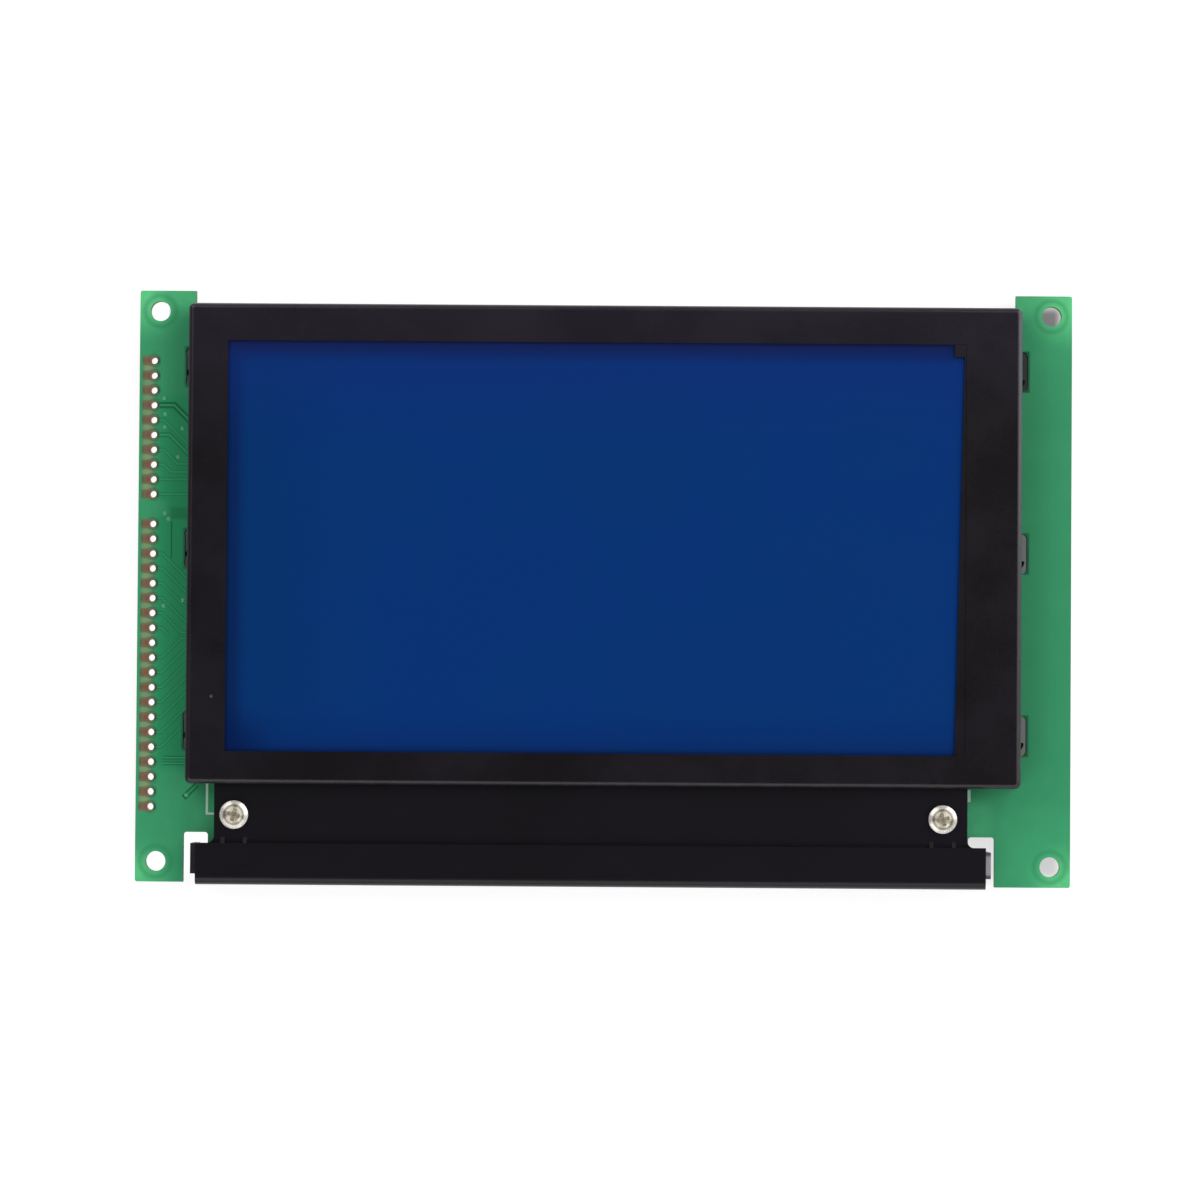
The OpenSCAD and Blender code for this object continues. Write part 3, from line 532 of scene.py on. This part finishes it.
def chip_mat(name, body, rough, row_y):
    """A chip part with tinned ends, standing in a row along one Y."""
    m = Mat(name)
    fine = m.noise(7.0, 3.0, 0.6)
    ends = m.ramp(m.math("ABSOLUTE", m.math("SUBTRACT", m.y, row_y)), 0.58, 0.64)
    tone = m.mix(m.vary(fine), body, toned(body, 1.25))
    m.color(m.mix(ends, tone, m.mix(fine, srgb(186, 184, 178), srgb(208, 206, 200))))
    m.set("Metallic", m.times(ends, 0.8))
    m.rough(m.vary(fine, rough - 0.05, rough + 0.06))
    m.bump(fine, 0.2, 0.01)
    return m


def glass_mat(name, base, ior, rough):
    """Clear glass or acrylic with faint smears."""
    m = Mat(name, Transmission_Weight=0.92, IOR=ior)
    smear = m.noise(0.12, 3.0)
    m.color(m.mix(m.vary(smear), base, toned(base, 0.94)))
    m.rough(m.vary(smear, rough, rough + 0.03))
    return m


def rubber_mat():
    """Layered connector strip: thin dark conducting layers between pale ones."""
    m = Mat("connector_rubber")
    layers = m.math("SINE", m.times(m.math("ADD", m.x, m.y), 40.0))
    m.color(m.mix(m.ramp(layers, -0.4, 0.4), srgb(40, 40, 42), srgb(92, 92, 94)))
    m.rough(m.vary(m.noise(5.0), 0.6, 0.75))
    return m


def mask_green(name, base, spread, rough, grain, bump):
    """Solder mask over a track, or the cleared strip beside one."""
    return plain_mat(name, base, spread, rough, grain, bump, Specular_IOR_Level=0.25)


MATS = {
    "board_green": board_mat(),
    "pad_copper": copper_mat(),
    "bezel_black": black_paint("bezel_black"),
    "mask_black": black_paint("mask_black"),
    "display_blue": display_mat(),
    "clear_glass": glass_mat("clear_glass", srgb(222, 236, 236), 1.52, 0.02),
    "polarizer_dark": plain_mat("polarizer_dark", srgb(34, 48, 76), 0.08, 0.2, 10.0, 0.0),
    "diffuser_white": plain_mat("diffuser_white", srgb(238, 240, 238), 0.02, 0.6, 12.0, 0.01),
    "guide_clear": glass_mat("guide_clear", srgb(226, 240, 242), 1.49, 0.05),
    "reflector_white": plain_mat("reflector_white", srgb(246, 246, 243), 0.02, 0.35, 12.0, 0.005),
    "frame_white": plain_mat("frame_white", srgb(228, 227, 221), 0.04, 0.55, 7.0, 0.012),
    "connector_rubber": rubber_mat(),
    "lamp_black": lamp_mat(),
    "holder_grey": holder_mat(),
    "led_board_white": plain_mat("led_board_white", srgb(222, 222, 214), 0.04, 0.4, 7.0, 0.008),
    "led_yellow": plain_mat("led_yellow", srgb(240, 220, 140), 0.08, 0.3, 9.0, 0.01),
    "tinned": metal_mat("tinned", srgb(206, 204, 198), srgb(160, 156, 148), 0.34),
    "screw_nickel": screw_mat(),
    "package_black": plain_mat("package_black", srgb(38, 38, 41), 0.12, 0.55, 8.0, 0.02,
                               Specular_IOR_Level=0.4),
    "dome_black": plain_mat("dome_black", srgb(20, 20, 22), 0.15, 0.16, 0.6, 0.05),
    "capacitor_tan": chip_mat("capacitor_tan", srgb(172, 144, 106), 0.5, CAPACITOR_Y),
    "resistor_black": chip_mat("resistor_black", srgb(32, 32, 35), 0.35, RESISTOR_Y),
}
TRACE_GREEN = mask_green("trace_green", srgb(50, 150, 101), 0.06, 0.42, 4.0, 0.01)
GAP_GREEN = mask_green("gap_green", srgb(25, 126, 79), 0.08, 0.45, 5.0, 0.0)
DEEP_GREEN = mask_green("deep_green", srgb(20, 106, 66), 0.08, 0.45, 5.0, 0.0)
REAR_GREEN = mask_green("rear_green", srgb(58, 156, 108), 0.06, 0.42, 4.0, 0.01)
VIA_PALE = plain_mat("via_pale", srgb(88, 166, 128), 0.08, 0.4, 8.0, 0.01)
PRINT_WHITE = plain_mat("print_white", srgb(196, 232, 208), 0.05, 0.6, 9.0, 0.01)


def dress(node, mat):
    """Gives a node of the frame its material."""
    o = nodes[node]
    if not o.material_slots:
        o.data.materials.append(mat.material)
    for s in o.material_slots:
        s.material = mat.material


for part in frame["record"]["subparts"]:
    dress(part["node"], MATS[part["material_slot"]])


# Shapes of the thin pieces that the solids leave out, all in millimetres

def finish_mesh(bm, name, mat, smooth=False):
    """Turns a mesh in the making into a piece that rides with the part."""
    bmesh.ops.recalc_face_normals(bm, faces=bm.faces)
    mesh = bpy.data.meshes.new(name)
    bm.to_mesh(mesh)
    bm.free()
    mesh.materials.append(mat.material)
    if smooth:
        for p in mesh.polygons:
            p.use_smooth = True
    o = bpy.data.objects.new(name, mesh)
    bpy.context.scene.collection.objects.link(o)
    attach(o, "root")


def vert(bm, x, y, z):
    return bm.verts.new((x * MM, y * MM, z * MM))


def wrap(bm, r, s):
    """Faces between one ring of points and the next."""
    for k in range(len(r)):
        n = (k + 1) % len(r)
        bm.faces.new((r[k], r[n], s[n], s[k]))


def ribbon(bm, points, width, base, height):
    """A flat track along points, mitred at its bends, standing height proud of base."""
    pts = [Vector(p) for p in points]
    rows = []
    for i, p in enumerate(pts):
        before = (p - pts[i - 1]).normalized() if i else (pts[1] - p).normalized()
        after = (pts[i + 1] - p).normalized() if i + 1 < len(pts) else before
        across = Vector((-(before + after).y, (before + after).x)).normalized()
        reach = width / 2 / max(0.35, across.dot(Vector((-before.y, before.x))))
        a, b = p + across * reach, p - across * reach
        corners = (a, base), (a, base + height), (b, base + height), (b, base)
        rows.append([vert(bm, q.x, q.y, h) for q, h in corners])
    for r, s in zip(rows, rows[1:]):
        wrap(bm, r, s)
    bm.faces.new(rows[0])
    bm.faces.new(list(reversed(rows[-1])))


def ring(bm, x, y, inner, outer, base, height, steps):
    """A flat ring standing height proud of base."""
    rows = []
    for i in range(steps):
        a = 2 * math.pi * i / steps
        corners = (inner, base), (inner, base + height), (outer, base + height), (outer, base)
        rows.append([vert(bm, x + r * math.cos(a), y + r * math.sin(a), h) for r, h in corners])
    for r, s in zip(rows, rows[1:] + rows[:1]):
        wrap(bm, r, s)


def cap(bm, x, y, radius, base, height, steps, rings, stretch=1.0, turn=0.0):
    """A low rounded blob on a face, longer one way by stretch and then turned."""
    top = vert(bm, x, y, base + height)
    ct, st = math.cos(turn), math.sin(turn)
    last = None
    for j in range(1, rings + 1):
        t = math.pi / 2 * j / rings
        row = []
        for i in range(steps):
            a = 2 * math.pi * i / steps
            u, v = radius * math.sin(t) * math.cos(a) * stretch, radius * math.sin(t) * math.sin(a)
            row.append(vert(bm, x + u * ct - v * st, y + u * st + v * ct, base + height * math.cos(t)))
        if last:
            wrap(bm, row, last)
        else:
            for i in range(steps):
                bm.faces.new((top, row[i], row[(i + 1) % steps]))
        last = row
    bm.faces.new(list(reversed(last)))


def bend(points, cut):
    """The same run with its square corners cut off."""
    out = [points[0]]
    for a, b, c in zip(points, points[1:], points[2:]):
        a, b, c = Vector(a), Vector(b), Vector(c)
        out.append(tuple(b + (a - b).normalized() * min(cut, (a - b).length / 2)))
        out.append(tuple(b + (c - b).normalized() * min(cut, (c - b).length / 2)))
    return out + [points[-1]]


TRACK_H = 0.035            # how far tracks, their edges, print and vias stand proud
EDGE_H = 0.015
PRINT_H = 0.02
VIA_H = 0.06
TRACK_W, EDGE_W = 0.32, 0.62    # a front track, and the same with the darker strips beside it


# Front of the board: tracks from the header holes to the bezel, vias and print

WING_END = -BEZEL_X - 0.2       # where a track meets the bezel
SLOT_END = -BEZEL_X - 1.25      # where one meets a slot
TRACK_START = HEADER_X + 1.0
TRACK_TURN = HEADER_X + 1.7     # where most tracks turn aslant
UPPER_FAN = 17.0, 4.2           # Y that a group of tracks closes up to, and the most that one moves
LOWER_FAN = -8.5, 4.4
FRONT_PINS = range(3, 26)
BARE_PINS = 10, 11, 17, 18      # header holes with no track to the bezel on this face
SHORT_PIN = 17                  # of these, the one with a short track
DARK_PIN = 3                    # a track with deep edges
WIDE_PINS = {DARK_PIN: (1.8, 1.1), 5: (1.0, 0.9)}    # how much later these turn, width with edges
FOOT_TRACKS = -29.36, -30.34    # Y of two tracks side by side at the foot of the header
LEFT_PRINT = (-67.5, -33.4), (-67.5, -38.85), (-66.3, -38.85)    # plain lines beside the lamp cover
RIGHT_PRINT = (62.45, -33.9), (62.45, -36.0)
FRONT_VIAS = ((-75.15, 12.4), (-74.5, 11.4), (-75.2, -3.45), (-71.9, -2.45), (-75.3, 27.1), (-72.95, 22.0),
              (-72.25, 26.9), (-75.25, 29.35), (-75.4, 32.1), (-71.05, -35.7))


def run_end(y):
    """How far right a track on the left wing can run: to the bezel, or to the slot in front of it."""
    return SLOT_END if any(low - 0.5 < y < high + 0.5 for low, high in SLOTS) else WING_END


def fan_path(pin, later):
    """The run of one track from its header hole to the bezel, closing up on the middle of its group."""
    y = pin_y(pin)
    centre, most = UPPER_FAN if pin < UPPER_PINS else LOWER_FAN
    off = abs(y - centre)
    move = max(0.0, off - 1.0) * 0.46 if pin < UPPER_PINS else off - 0.5
    move = min(most, move) * (1 if y < centre else -1)
    turn, end = TRACK_TURN + later, run_end(y + move)
    move *= min(1.0, (end - turn) / (abs(move) + 0.05))
    if abs(move) <= 0.2:
        return [(TRACK_START, y), (end, y)]
    return [(TRACK_START, y), (turn, y), (turn + abs(move), y + move), (end + 0.01, y + move)]


def front_tracks():
    tracks, gaps, deep = bmesh.new(), bmesh.new(), bmesh.new()

    def edged(path, edges, width=EDGE_W):
        ribbon(tracks, path, TRACK_W, FRONT, TRACK_H)
        ribbon(edges, path, width, FRONT, EDGE_H)

    for pin in FRONT_PINS:
        if pin not in BARE_PINS:
            later, width = WIDE_PINS.get(pin, (0.0, EDGE_W))
            edged(fan_path(pin, later), deep if pin == DARK_PIN else gaps, width)
    y = pin_y(SHORT_PIN)
    edged([(TRACK_START, y), (TRACK_TURN, y), (TRACK_TURN + 1.1, y - 1.1)], gaps)
    for y in FOOT_TRACKS:
        edged([(HEADER_X + 2.0, y), (WING_END, y)], deep, 0.6)
    # a slanted track below the bezel, and a thin line beside the header
    ribbon(tracks, [(-71.2, -35.9), (-69.2, -33.9)], 0.34, FRONT, TRACK_H)
    ribbon(deep, [(-71.5, -36.2), (-69.2, -33.9)], 0.95, FRONT, EDGE_H)
    ribbon(deep, [(-74.0, 11.0), (-74.0, 4.7)], 0.24, FRONT, EDGE_H)
    finish_mesh(tracks, "front_tracks", TRACE_GREEN)
    finish_mesh(gaps, "track_gaps", GAP_GREEN)
    finish_mesh(deep, "track_edges", DEEP_GREEN)


def front_vias():
    vias = bmesh.new()
    for x, y in FRONT_VIAS:
        cap(vias, x, y, 0.36, FRONT, TRACK_H + 0.05, 18, 3)
    finish_mesh(vias, "front_vias", VIA_PALE, True)


def front_print():
    marks = bmesh.new()
    ribbon(marks, LEFT_PRINT, 0.4, FRONT, PRINT_H)
    ribbon(marks, RIGHT_PRINT, 0.5, FRONT, PRINT_H)
    finish_mesh(marks, "front_print", PRINT_WHITE)


front_tracks()
front_vias()
front_print()


# Rear of the board: pads, solder, tracks, vias and print, all standing down from the rear face

SIGNAL_W, SUPPLY_W = 0.24, 0.7
REAR_START = HEADER_X + 1.3     # where a rear track leaves its header hole
TO_LEAD = 0.6                   # from the end of a lead to the end of its track, under the pad
SINK = 0.01                     # solder starts this far below the face, on its pad
LEAD_PITCH = {"controller": 1.0, "memory": 1.27, "amplifier": 1.27}
LINE_Y = 24.6                   # first of the tracks along the column drivers
DRIVERS = "column_driver_1", "column_driver_2", "column_driver_3", "row_driver_1", "row_driver_2"

(c_left, c_lower, _), (c_right, c_upper, _) = box("controller_leads")
c_x, c_y = middle("controller_leads")
a_x, a_y = middle("amplifier_leads")
pads, solder, tracks, vias, marks = (bmesh.new() for piece in range(5))


def track(points, width=SIGNAL_W):
    ribbon(tracks, points, width, REAR, -TRACK_H)


def pad(points, width):
    ribbon(pads, points, width, REAR, -TRACK_H)


def via(x, y, radius=0.34, steps=16):
    cap(vias, x, y, radius, REAR, -VIA_H, steps, 3)


def toes(chip, count, sides):
    """Where a package's leads end: x, y and the way out of the package."""
    low, high = box(chip + "_leads")
    mx, my = middle(chip + "_leads")
    out = []
    for i in range(count):
        t = (i - (count - 1) / 2) * LEAD_PITCH[chip]
        if sides == "y":
            out += [(mx + t, low[1], 0, -1), (mx + t, high[1], 0, 1)]
        else:
            out += [(low[0], my + t, -1, 0), (high[0], my + t, 1, 0)]
    return out


def package_solder():
    """A pad and a fillet at each lead, and a printed dot beside each package's first lead."""
    legs = (toes("controller", 18, "y") + toes("controller", 12, "x")
            + toes("memory", 14, "y") + toes("amplifier", 7, "y"))
    for x, y, dx, dy in legs:
        pad([(x + 0.02 * dx, y + 0.02 * dy), (x + 0.55 * dx, y + 0.55 * dy)], 0.5)
        cap(solder, x + 0.12 * dx, y + 0.12 * dy, 0.2, -SINK, -0.13, 10, 3, 1.5, math.atan2(dy, dx))
    for chip in LEAD_PITCH:
        low, high = box(chip + "_leads")
        cap(marks, low[0] - 0.9, high[1] + 0.2, 0.35, REAR, -PRINT_H, 18, 2)


def header_tracks():
    """From the header to the controller and the capacitors, and three signals that change sides."""
    pour_left = LAMP_POUR[0][0]
    for i in range(9):
        y, lead = pin_y(2 + i), c_y + 5.5 - i
        turn = c_left - 4.45 - 0.41 * i
        track([(REAR_START, y), (turn - (y - lead), y), (turn, lead), (c_left - TO_LEAD, lead)])
    for k, x in enumerate(CAPACITOR_XS[:5]):
        y, run = pin_y(17 + k), CAPACITOR_Y - 4.0 - 0.8 * k
        track([(REAR_START, y), (pour_left, y), (pour_left + abs(y - run), run), (x - 0.6, run),
               (x, run + 0.6), (x, CAPACITOR_Y - 2.0)])
    for k in range(3):
        y, x = pin_y(14 + k), -58.5 + 1.5 * k
        track([(REAR_START, y), (x, y)])
        via(x, y)


def supply_tracks():
    """From the header to the amplifier and to the lamp's copper, and from the amplifier to the drivers'."""
    feed, drop = pin_y(22), a_x - 20.0
    track(bend([(REAR_START, feed), (drop, feed), (drop, a_y), (a_x - 9.0, a_y)], 1.5), SUPPLY_W)
    track([(REAR_START, pin_y(26)), (LAMP_POUR[0][0], pin_y(26))], 0.9)
    rise = a_x + 14.0
    end = DRIVER_POUR[0][0] + 0.1
    track(bend([(a_x + 9.0, a_y), (rise, a_y), (rise, a_y + 4.0), (end, a_y + 4.0)], 1.0), SUPPLY_W)
    for s in (-1, 1):
        via(a_x + s * 8.7, a_y, 0.5, 18)


def memory_tracks():
    """From the controller to the memory, over and under it."""
    (_, m_lower, _), (_, m_upper, _) = box("memory_leads")
    m_x = middle("memory_leads")[0]
    for s, edge in ((1, m_upper), (-1, m_lower)):
        for i in range(6):
            y = c_y + s * (5.5 - i)
            far = edge + s * (1.0 + 0.6 * (5 - i))
            over = c_right + 2.95 + 0.7 * i
            lead = m_x + LEAD_PITCH["memory"] * (-1.5 - i)
            run = [(c_right + TO_LEAD, y), (over, y), (over, far), (lead, far), (lead, edge + s * TO_LEAD)]
            track(bend(run, 0.5))


def controller_tracks():
    """From the controller to the column drivers' line and to the capacitors."""
    for k in range(4):
        x, y, end = c_x + 4.5 + k, LINE_Y - 0.6 * k, 46.0 - 2.0 * k
        track(bend([(x, c_upper + TO_LEAD), (x, y), (end, y)], 0.5))
        via(end, y)
    for i, x in enumerate(CAPACITOR_XS):
        off = i - 4
        lead = c_x + off * 2.0
        track([(x, CAPACITOR_Y + 1.8), (x, CAPACITOR_Y + 3.4 - 0.3 * abs(off)),
               ((x + lead) / 2, c_lower - 2.25), (lead, c_lower - 1.65), (lead, c_lower - TO_LEAD)])


def chip_solder():
    """Tracks from the resistors; pads, fillets and printed outlines of all chip parts."""
    for i, x in enumerate(RESISTOR_XS):
        y = RESISTOR_Y - 5.2 - 0.5 * i
        track([(x, RESISTOR_Y - 1.8), (x, y + 1.2), (x + 1.2, y)])
        via(x + 1.2, y)
    for xs, row, fillet in ((CAPACITOR_XS, CAPACITOR_Y, 0.5), (RESISTOR_XS, RESISTOR_Y, 0.3)):
        low, high = row - 2.1, row + 2.1
        for x in xs:
            for s in (-1, 1):
                pad([(x, row + s * 1.02), (x, row + s * 1.75)], 1.3)
                cap(solder, x, row + s * 1.1, 0.42, -SINK, -fillet, 14, 4, 1.3)
            left, right = x - 1.0, x + 1.0
            outline = [(left, low), (right, low), (right, high), (left, high), (left, low + 0.08)]
            ribbon(marks, outline, 0.16, REAR, -PRINT_H)


def driver_trim():
    """A white dam round each driver, with the ends of its leads showing outside it."""
    for name in DRIVERS:
        low, high = box(name)
        (x, y), r = middle(name), (high[0] - low[0]) / 2
        ring(marks, x, y, r + 0.08, r + 0.45, REAR, -0.05, 72)
        if name.startswith("column"):
            for at in (x - 3.0, x, x + 3.0):
                track([(at, LINE_Y + 1.0), (at, y - r - 2.6)])
                via(at, LINE_Y + 1.0)
        for i in range(44):
            a = 2 * math.pi * (i + 0.5) / 44
            c, t = math.cos(a), math.sin(a)
            near, far = r + 0.55, r + (2.0 if i % 2 else 1.3)
            track([(x + near * c, y + near * t), (x + far * c, y + far * t)])
            if i % 4 == 1:
                via(x + (far + 0.3) * c, y + (far + 0.3) * t, 0.3, 14)


def lamp_feed():
    """Pads and solder of the lamp's two feed pins, and a row of test points."""
    (left, _, _), (right, upper, _) = box("feed_pins")
    pin_r = 0.3
    for x in (left + pin_r, right - pin_r):
        pad([(x, upper - 1.5), (x, upper + 0.7)], 1.6)
        cap(solder, x, upper - 0.5, 0.6, -SINK, -0.72, 20, 5, 1.5, math.pi / 2)
    for k in range(6):
        cap(pads, -24.0 + 3.2 * k, -26.0, 0.75, REAR, -0.05, 24, 3)


package_solder()
header_tracks()
supply_tracks()
memory_tracks()
controller_tracks()
chip_solder()
driver_trim()
lamp_feed()
finish_mesh(pads, "rear_pads", MATS["tinned"])
finish_mesh(solder, "rear_solder", MATS["tinned"], True)
finish_mesh(tracks, "rear_tracks", REAR_GREEN)
finish_mesh(vias, "rear_vias", VIA_PALE, True)
finish_mesh(marks, "rear_print", PRINT_WHITE)


# Stage

def grey(level):
    return (level, level, level, 1.0)


def floor_mat():
    """Pale all round. Under the board it carries painted shade and painted light: its colour is darker there,
    and its glow is white at the left, darker at the slots and on the right.
    """
    m = Mat("floor_white", Roughness=1.0, Specular_IOR_Level=0.0, Emission_Color=WHITE)
    inset, soft = 1.5, 1.4
    # painted shade under the board, cut back under the notch at the top
    under = m.patch((LEFT + inset, RIGHT - inset), (LOWER + inset, UPPER - inset), soft, soft)
    top_cut = m.times(m.band(m.x, -BEZEL_X - 1.1, BEZEL_X + 1.1, soft), m.ramp(m.y, 44.6, 47.2))
    under = m.math("SUBTRACT", under, top_cut, True)
    # beside the lamp the board is cut out
    low = -41.0, -40.0
    left_end = m.ramp(m.x, -60.0, -59.0, 1.0, 0.0)
    right_end = m.ramp(m.x, 60.0, 61.0)
    # painted light: a white glow under the header at the left, a dimmer glow under the slots, the right-hand
    # holes and the cut-out
    slots = m.times(m.ramp(m.y, -44.0, -32.0, 0.56, 0.1), m.ramp(m.y, 12.0, 33.0, 1.0, 0.05))
    hole = m.ramp(m.y, 43.0, 45.0, 0.02, 0.16)
    cut = m.times(m.ramp(m.y, *low, 0.16, 0.0), m.ramp(m.x, 72.0, 74.0, 1.0, 0.0))
    right = m.times(m.math("ADD", m.math("ADD", slots, hole), cut), right_end)
    header = m.ramp(m.x, HEADER_X + 1.8, HEADER_X + 2.8, 1.0, 0.05)
    left = m.math("MAXIMUM", header, m.times(m.ramp(m.y, *low, 1.0, 0.0), left_end))
    below = m.math("ADD", right, m.times(left, left_end))
    # painted shade: the floor's own colour is darker under the board
    m.color(m.mix(under, grey(0.46), grey(0.12)))
    # it glows only where it is seen, straight, mirrored or through glass
    rays = m.node("ShaderNodeLightPath").outputs
    seen = m.math("MAXIMUM", rays["Is Camera Ray"], rays["Is Glossy Ray"])
    seen = m.math("MAXIMUM", seen, rays["Is Transmission Ray"])
    m.set("Emission_Strength", m.times(m.mix(under, grey(0.72), below), seen))
    return m


FLOOR_HALF = 12.0           # metres
FLOOR_GAP = 2e-5            # metres between the floor and what lies on it
floor_mesh = bpy.data.meshes.new("floor")
floor_corners = [(x * FLOOR_HALF, y * FLOOR_HALF, 0) for x, y in ((-1, -1), (1, -1), (1, 1), (-1, 1))]
floor_mesh.from_pydata(floor_corners, [], [(0, 1, 2, 3)])
floor_mesh.materials.append(floor_mat().material)
floor = bpy.data.objects.new("floor", floor_mesh)
floor.location.z = FLOOR * MM - FLOOR_GAP
bpy.context.scene.collection.objects.link(floor)

# a white room, dark overhead and dimmer towards -X
world = bpy.data.worlds.new("studio")
bpy.context.scene.world = world
world.use_nodes = True
room = Tree(world.node_tree)
room_x, _, room_z = room.split(room.node("ShaderNodeTexCoord").outputs["Generated"])
overhead = room.ramp(room_z, 0.15, 0.85, 0.6, 0.05)
dimmer = room.ramp(room_x, -0.8, 0.0, 0.35, 1.0, "LINEAR")
backdrop = room.node("ShaderNodeBackground")
room.put(backdrop.inputs["Color"], WHITE)
room.put(backdrop.inputs["Strength"], room.times(overhead, dimmer))
room.put(room.node("ShaderNodeOutputWorld").inputs["Surface"], backdrop.outputs[0])

# softboxes, all turned to the origin: place and size in metres, watts
SOFTBOXES = {
    "key_right": ((0.66, 0.4, 0.6), (1.1, 1.1), 7.5),
    "fill_upper_left": ((-0.64, 0.64, 0.8), (0.95, 0.95), 5.3),
    "fill_lower_left": ((-0.62, -0.62, 0.78), (0.85, 0.85), 4.1),
    "fill_lower_right": ((0.55, -0.65, 0.85), (0.5, 0.5), 2.2),
    "edge_lower": ((0.0, -0.76, 0.6), (0.9, 0.6), 1.7),
}


def softbox(name, place, size, watts):
    lamp = bpy.data.lights.new(name, "AREA")
    lamp.shape = "RECTANGLE"
    lamp.size, lamp.size_y = size
    lamp.energy = watts
    o = bpy.data.objects.new(name, lamp)
    o.location = place
    o.rotation_euler = (-Vector(place)).to_track_quat("-Z", "Y").to_euler()
    bpy.context.scene.collection.objects.link(o)


for name, settings in SOFTBOXES.items():
    softbox(name, *settings)

# Camera: straight over the board's front, tilted and rolled as for the photograph
CAMERA_HEIGHT = 800.0                   # millimetres
TILT_X, TILT_Y, ROLL = (math.radians(angle) for angle in (-1.77, -0.31, -0.398))
PHOTO_SIDE = 1200.0                     # pixels
PIXELS_PER_MM = 5.8565                  # on the board's front
ORIGIN_PIXEL = 604.11, 588.55           # where the middle of the mounting holes falls
SENSOR = 36.0                           # millimetres
turned = Matrix.Rotation(ROLL, 3, "Z") @ Matrix.Rotation(TILT_X, 3, "X") @ Matrix.Rotation(TILT_Y, 3, "Y")
cam = bpy.data.cameras.new("camera")
cam.sensor_fit = "HORIZONTAL"
cam.sensor_width = SENSOR
cam.lens = PIXELS_PER_MM * CAMERA_HEIGHT / PHOTO_SIDE * SENSOR
cam.shift_x = -(ORIGIN_PIXEL[0] - PHOTO_SIDE / 2) / PHOTO_SIDE
cam.shift_y = (ORIGIN_PIXEL[1] - PHOTO_SIDE / 2) / PHOTO_SIDE
cam.clip_start = 0.01
cam.clip_end = 60.0
camera = bpy.data.objects.new("camera", cam)
viewpoint = turned.transposed() @ Vector((0, 0, CAMERA_HEIGHT)) + Vector((0, 0, FRONT))
camera.matrix_world = Matrix.Translation(viewpoint * MM) @ turned.transposed().to_4x4()
bpy.context.scene.collection.objects.link(camera)
bpy.context.scene.camera = camera
bpy.context.scene.view_settings.view_transform = "Standard"
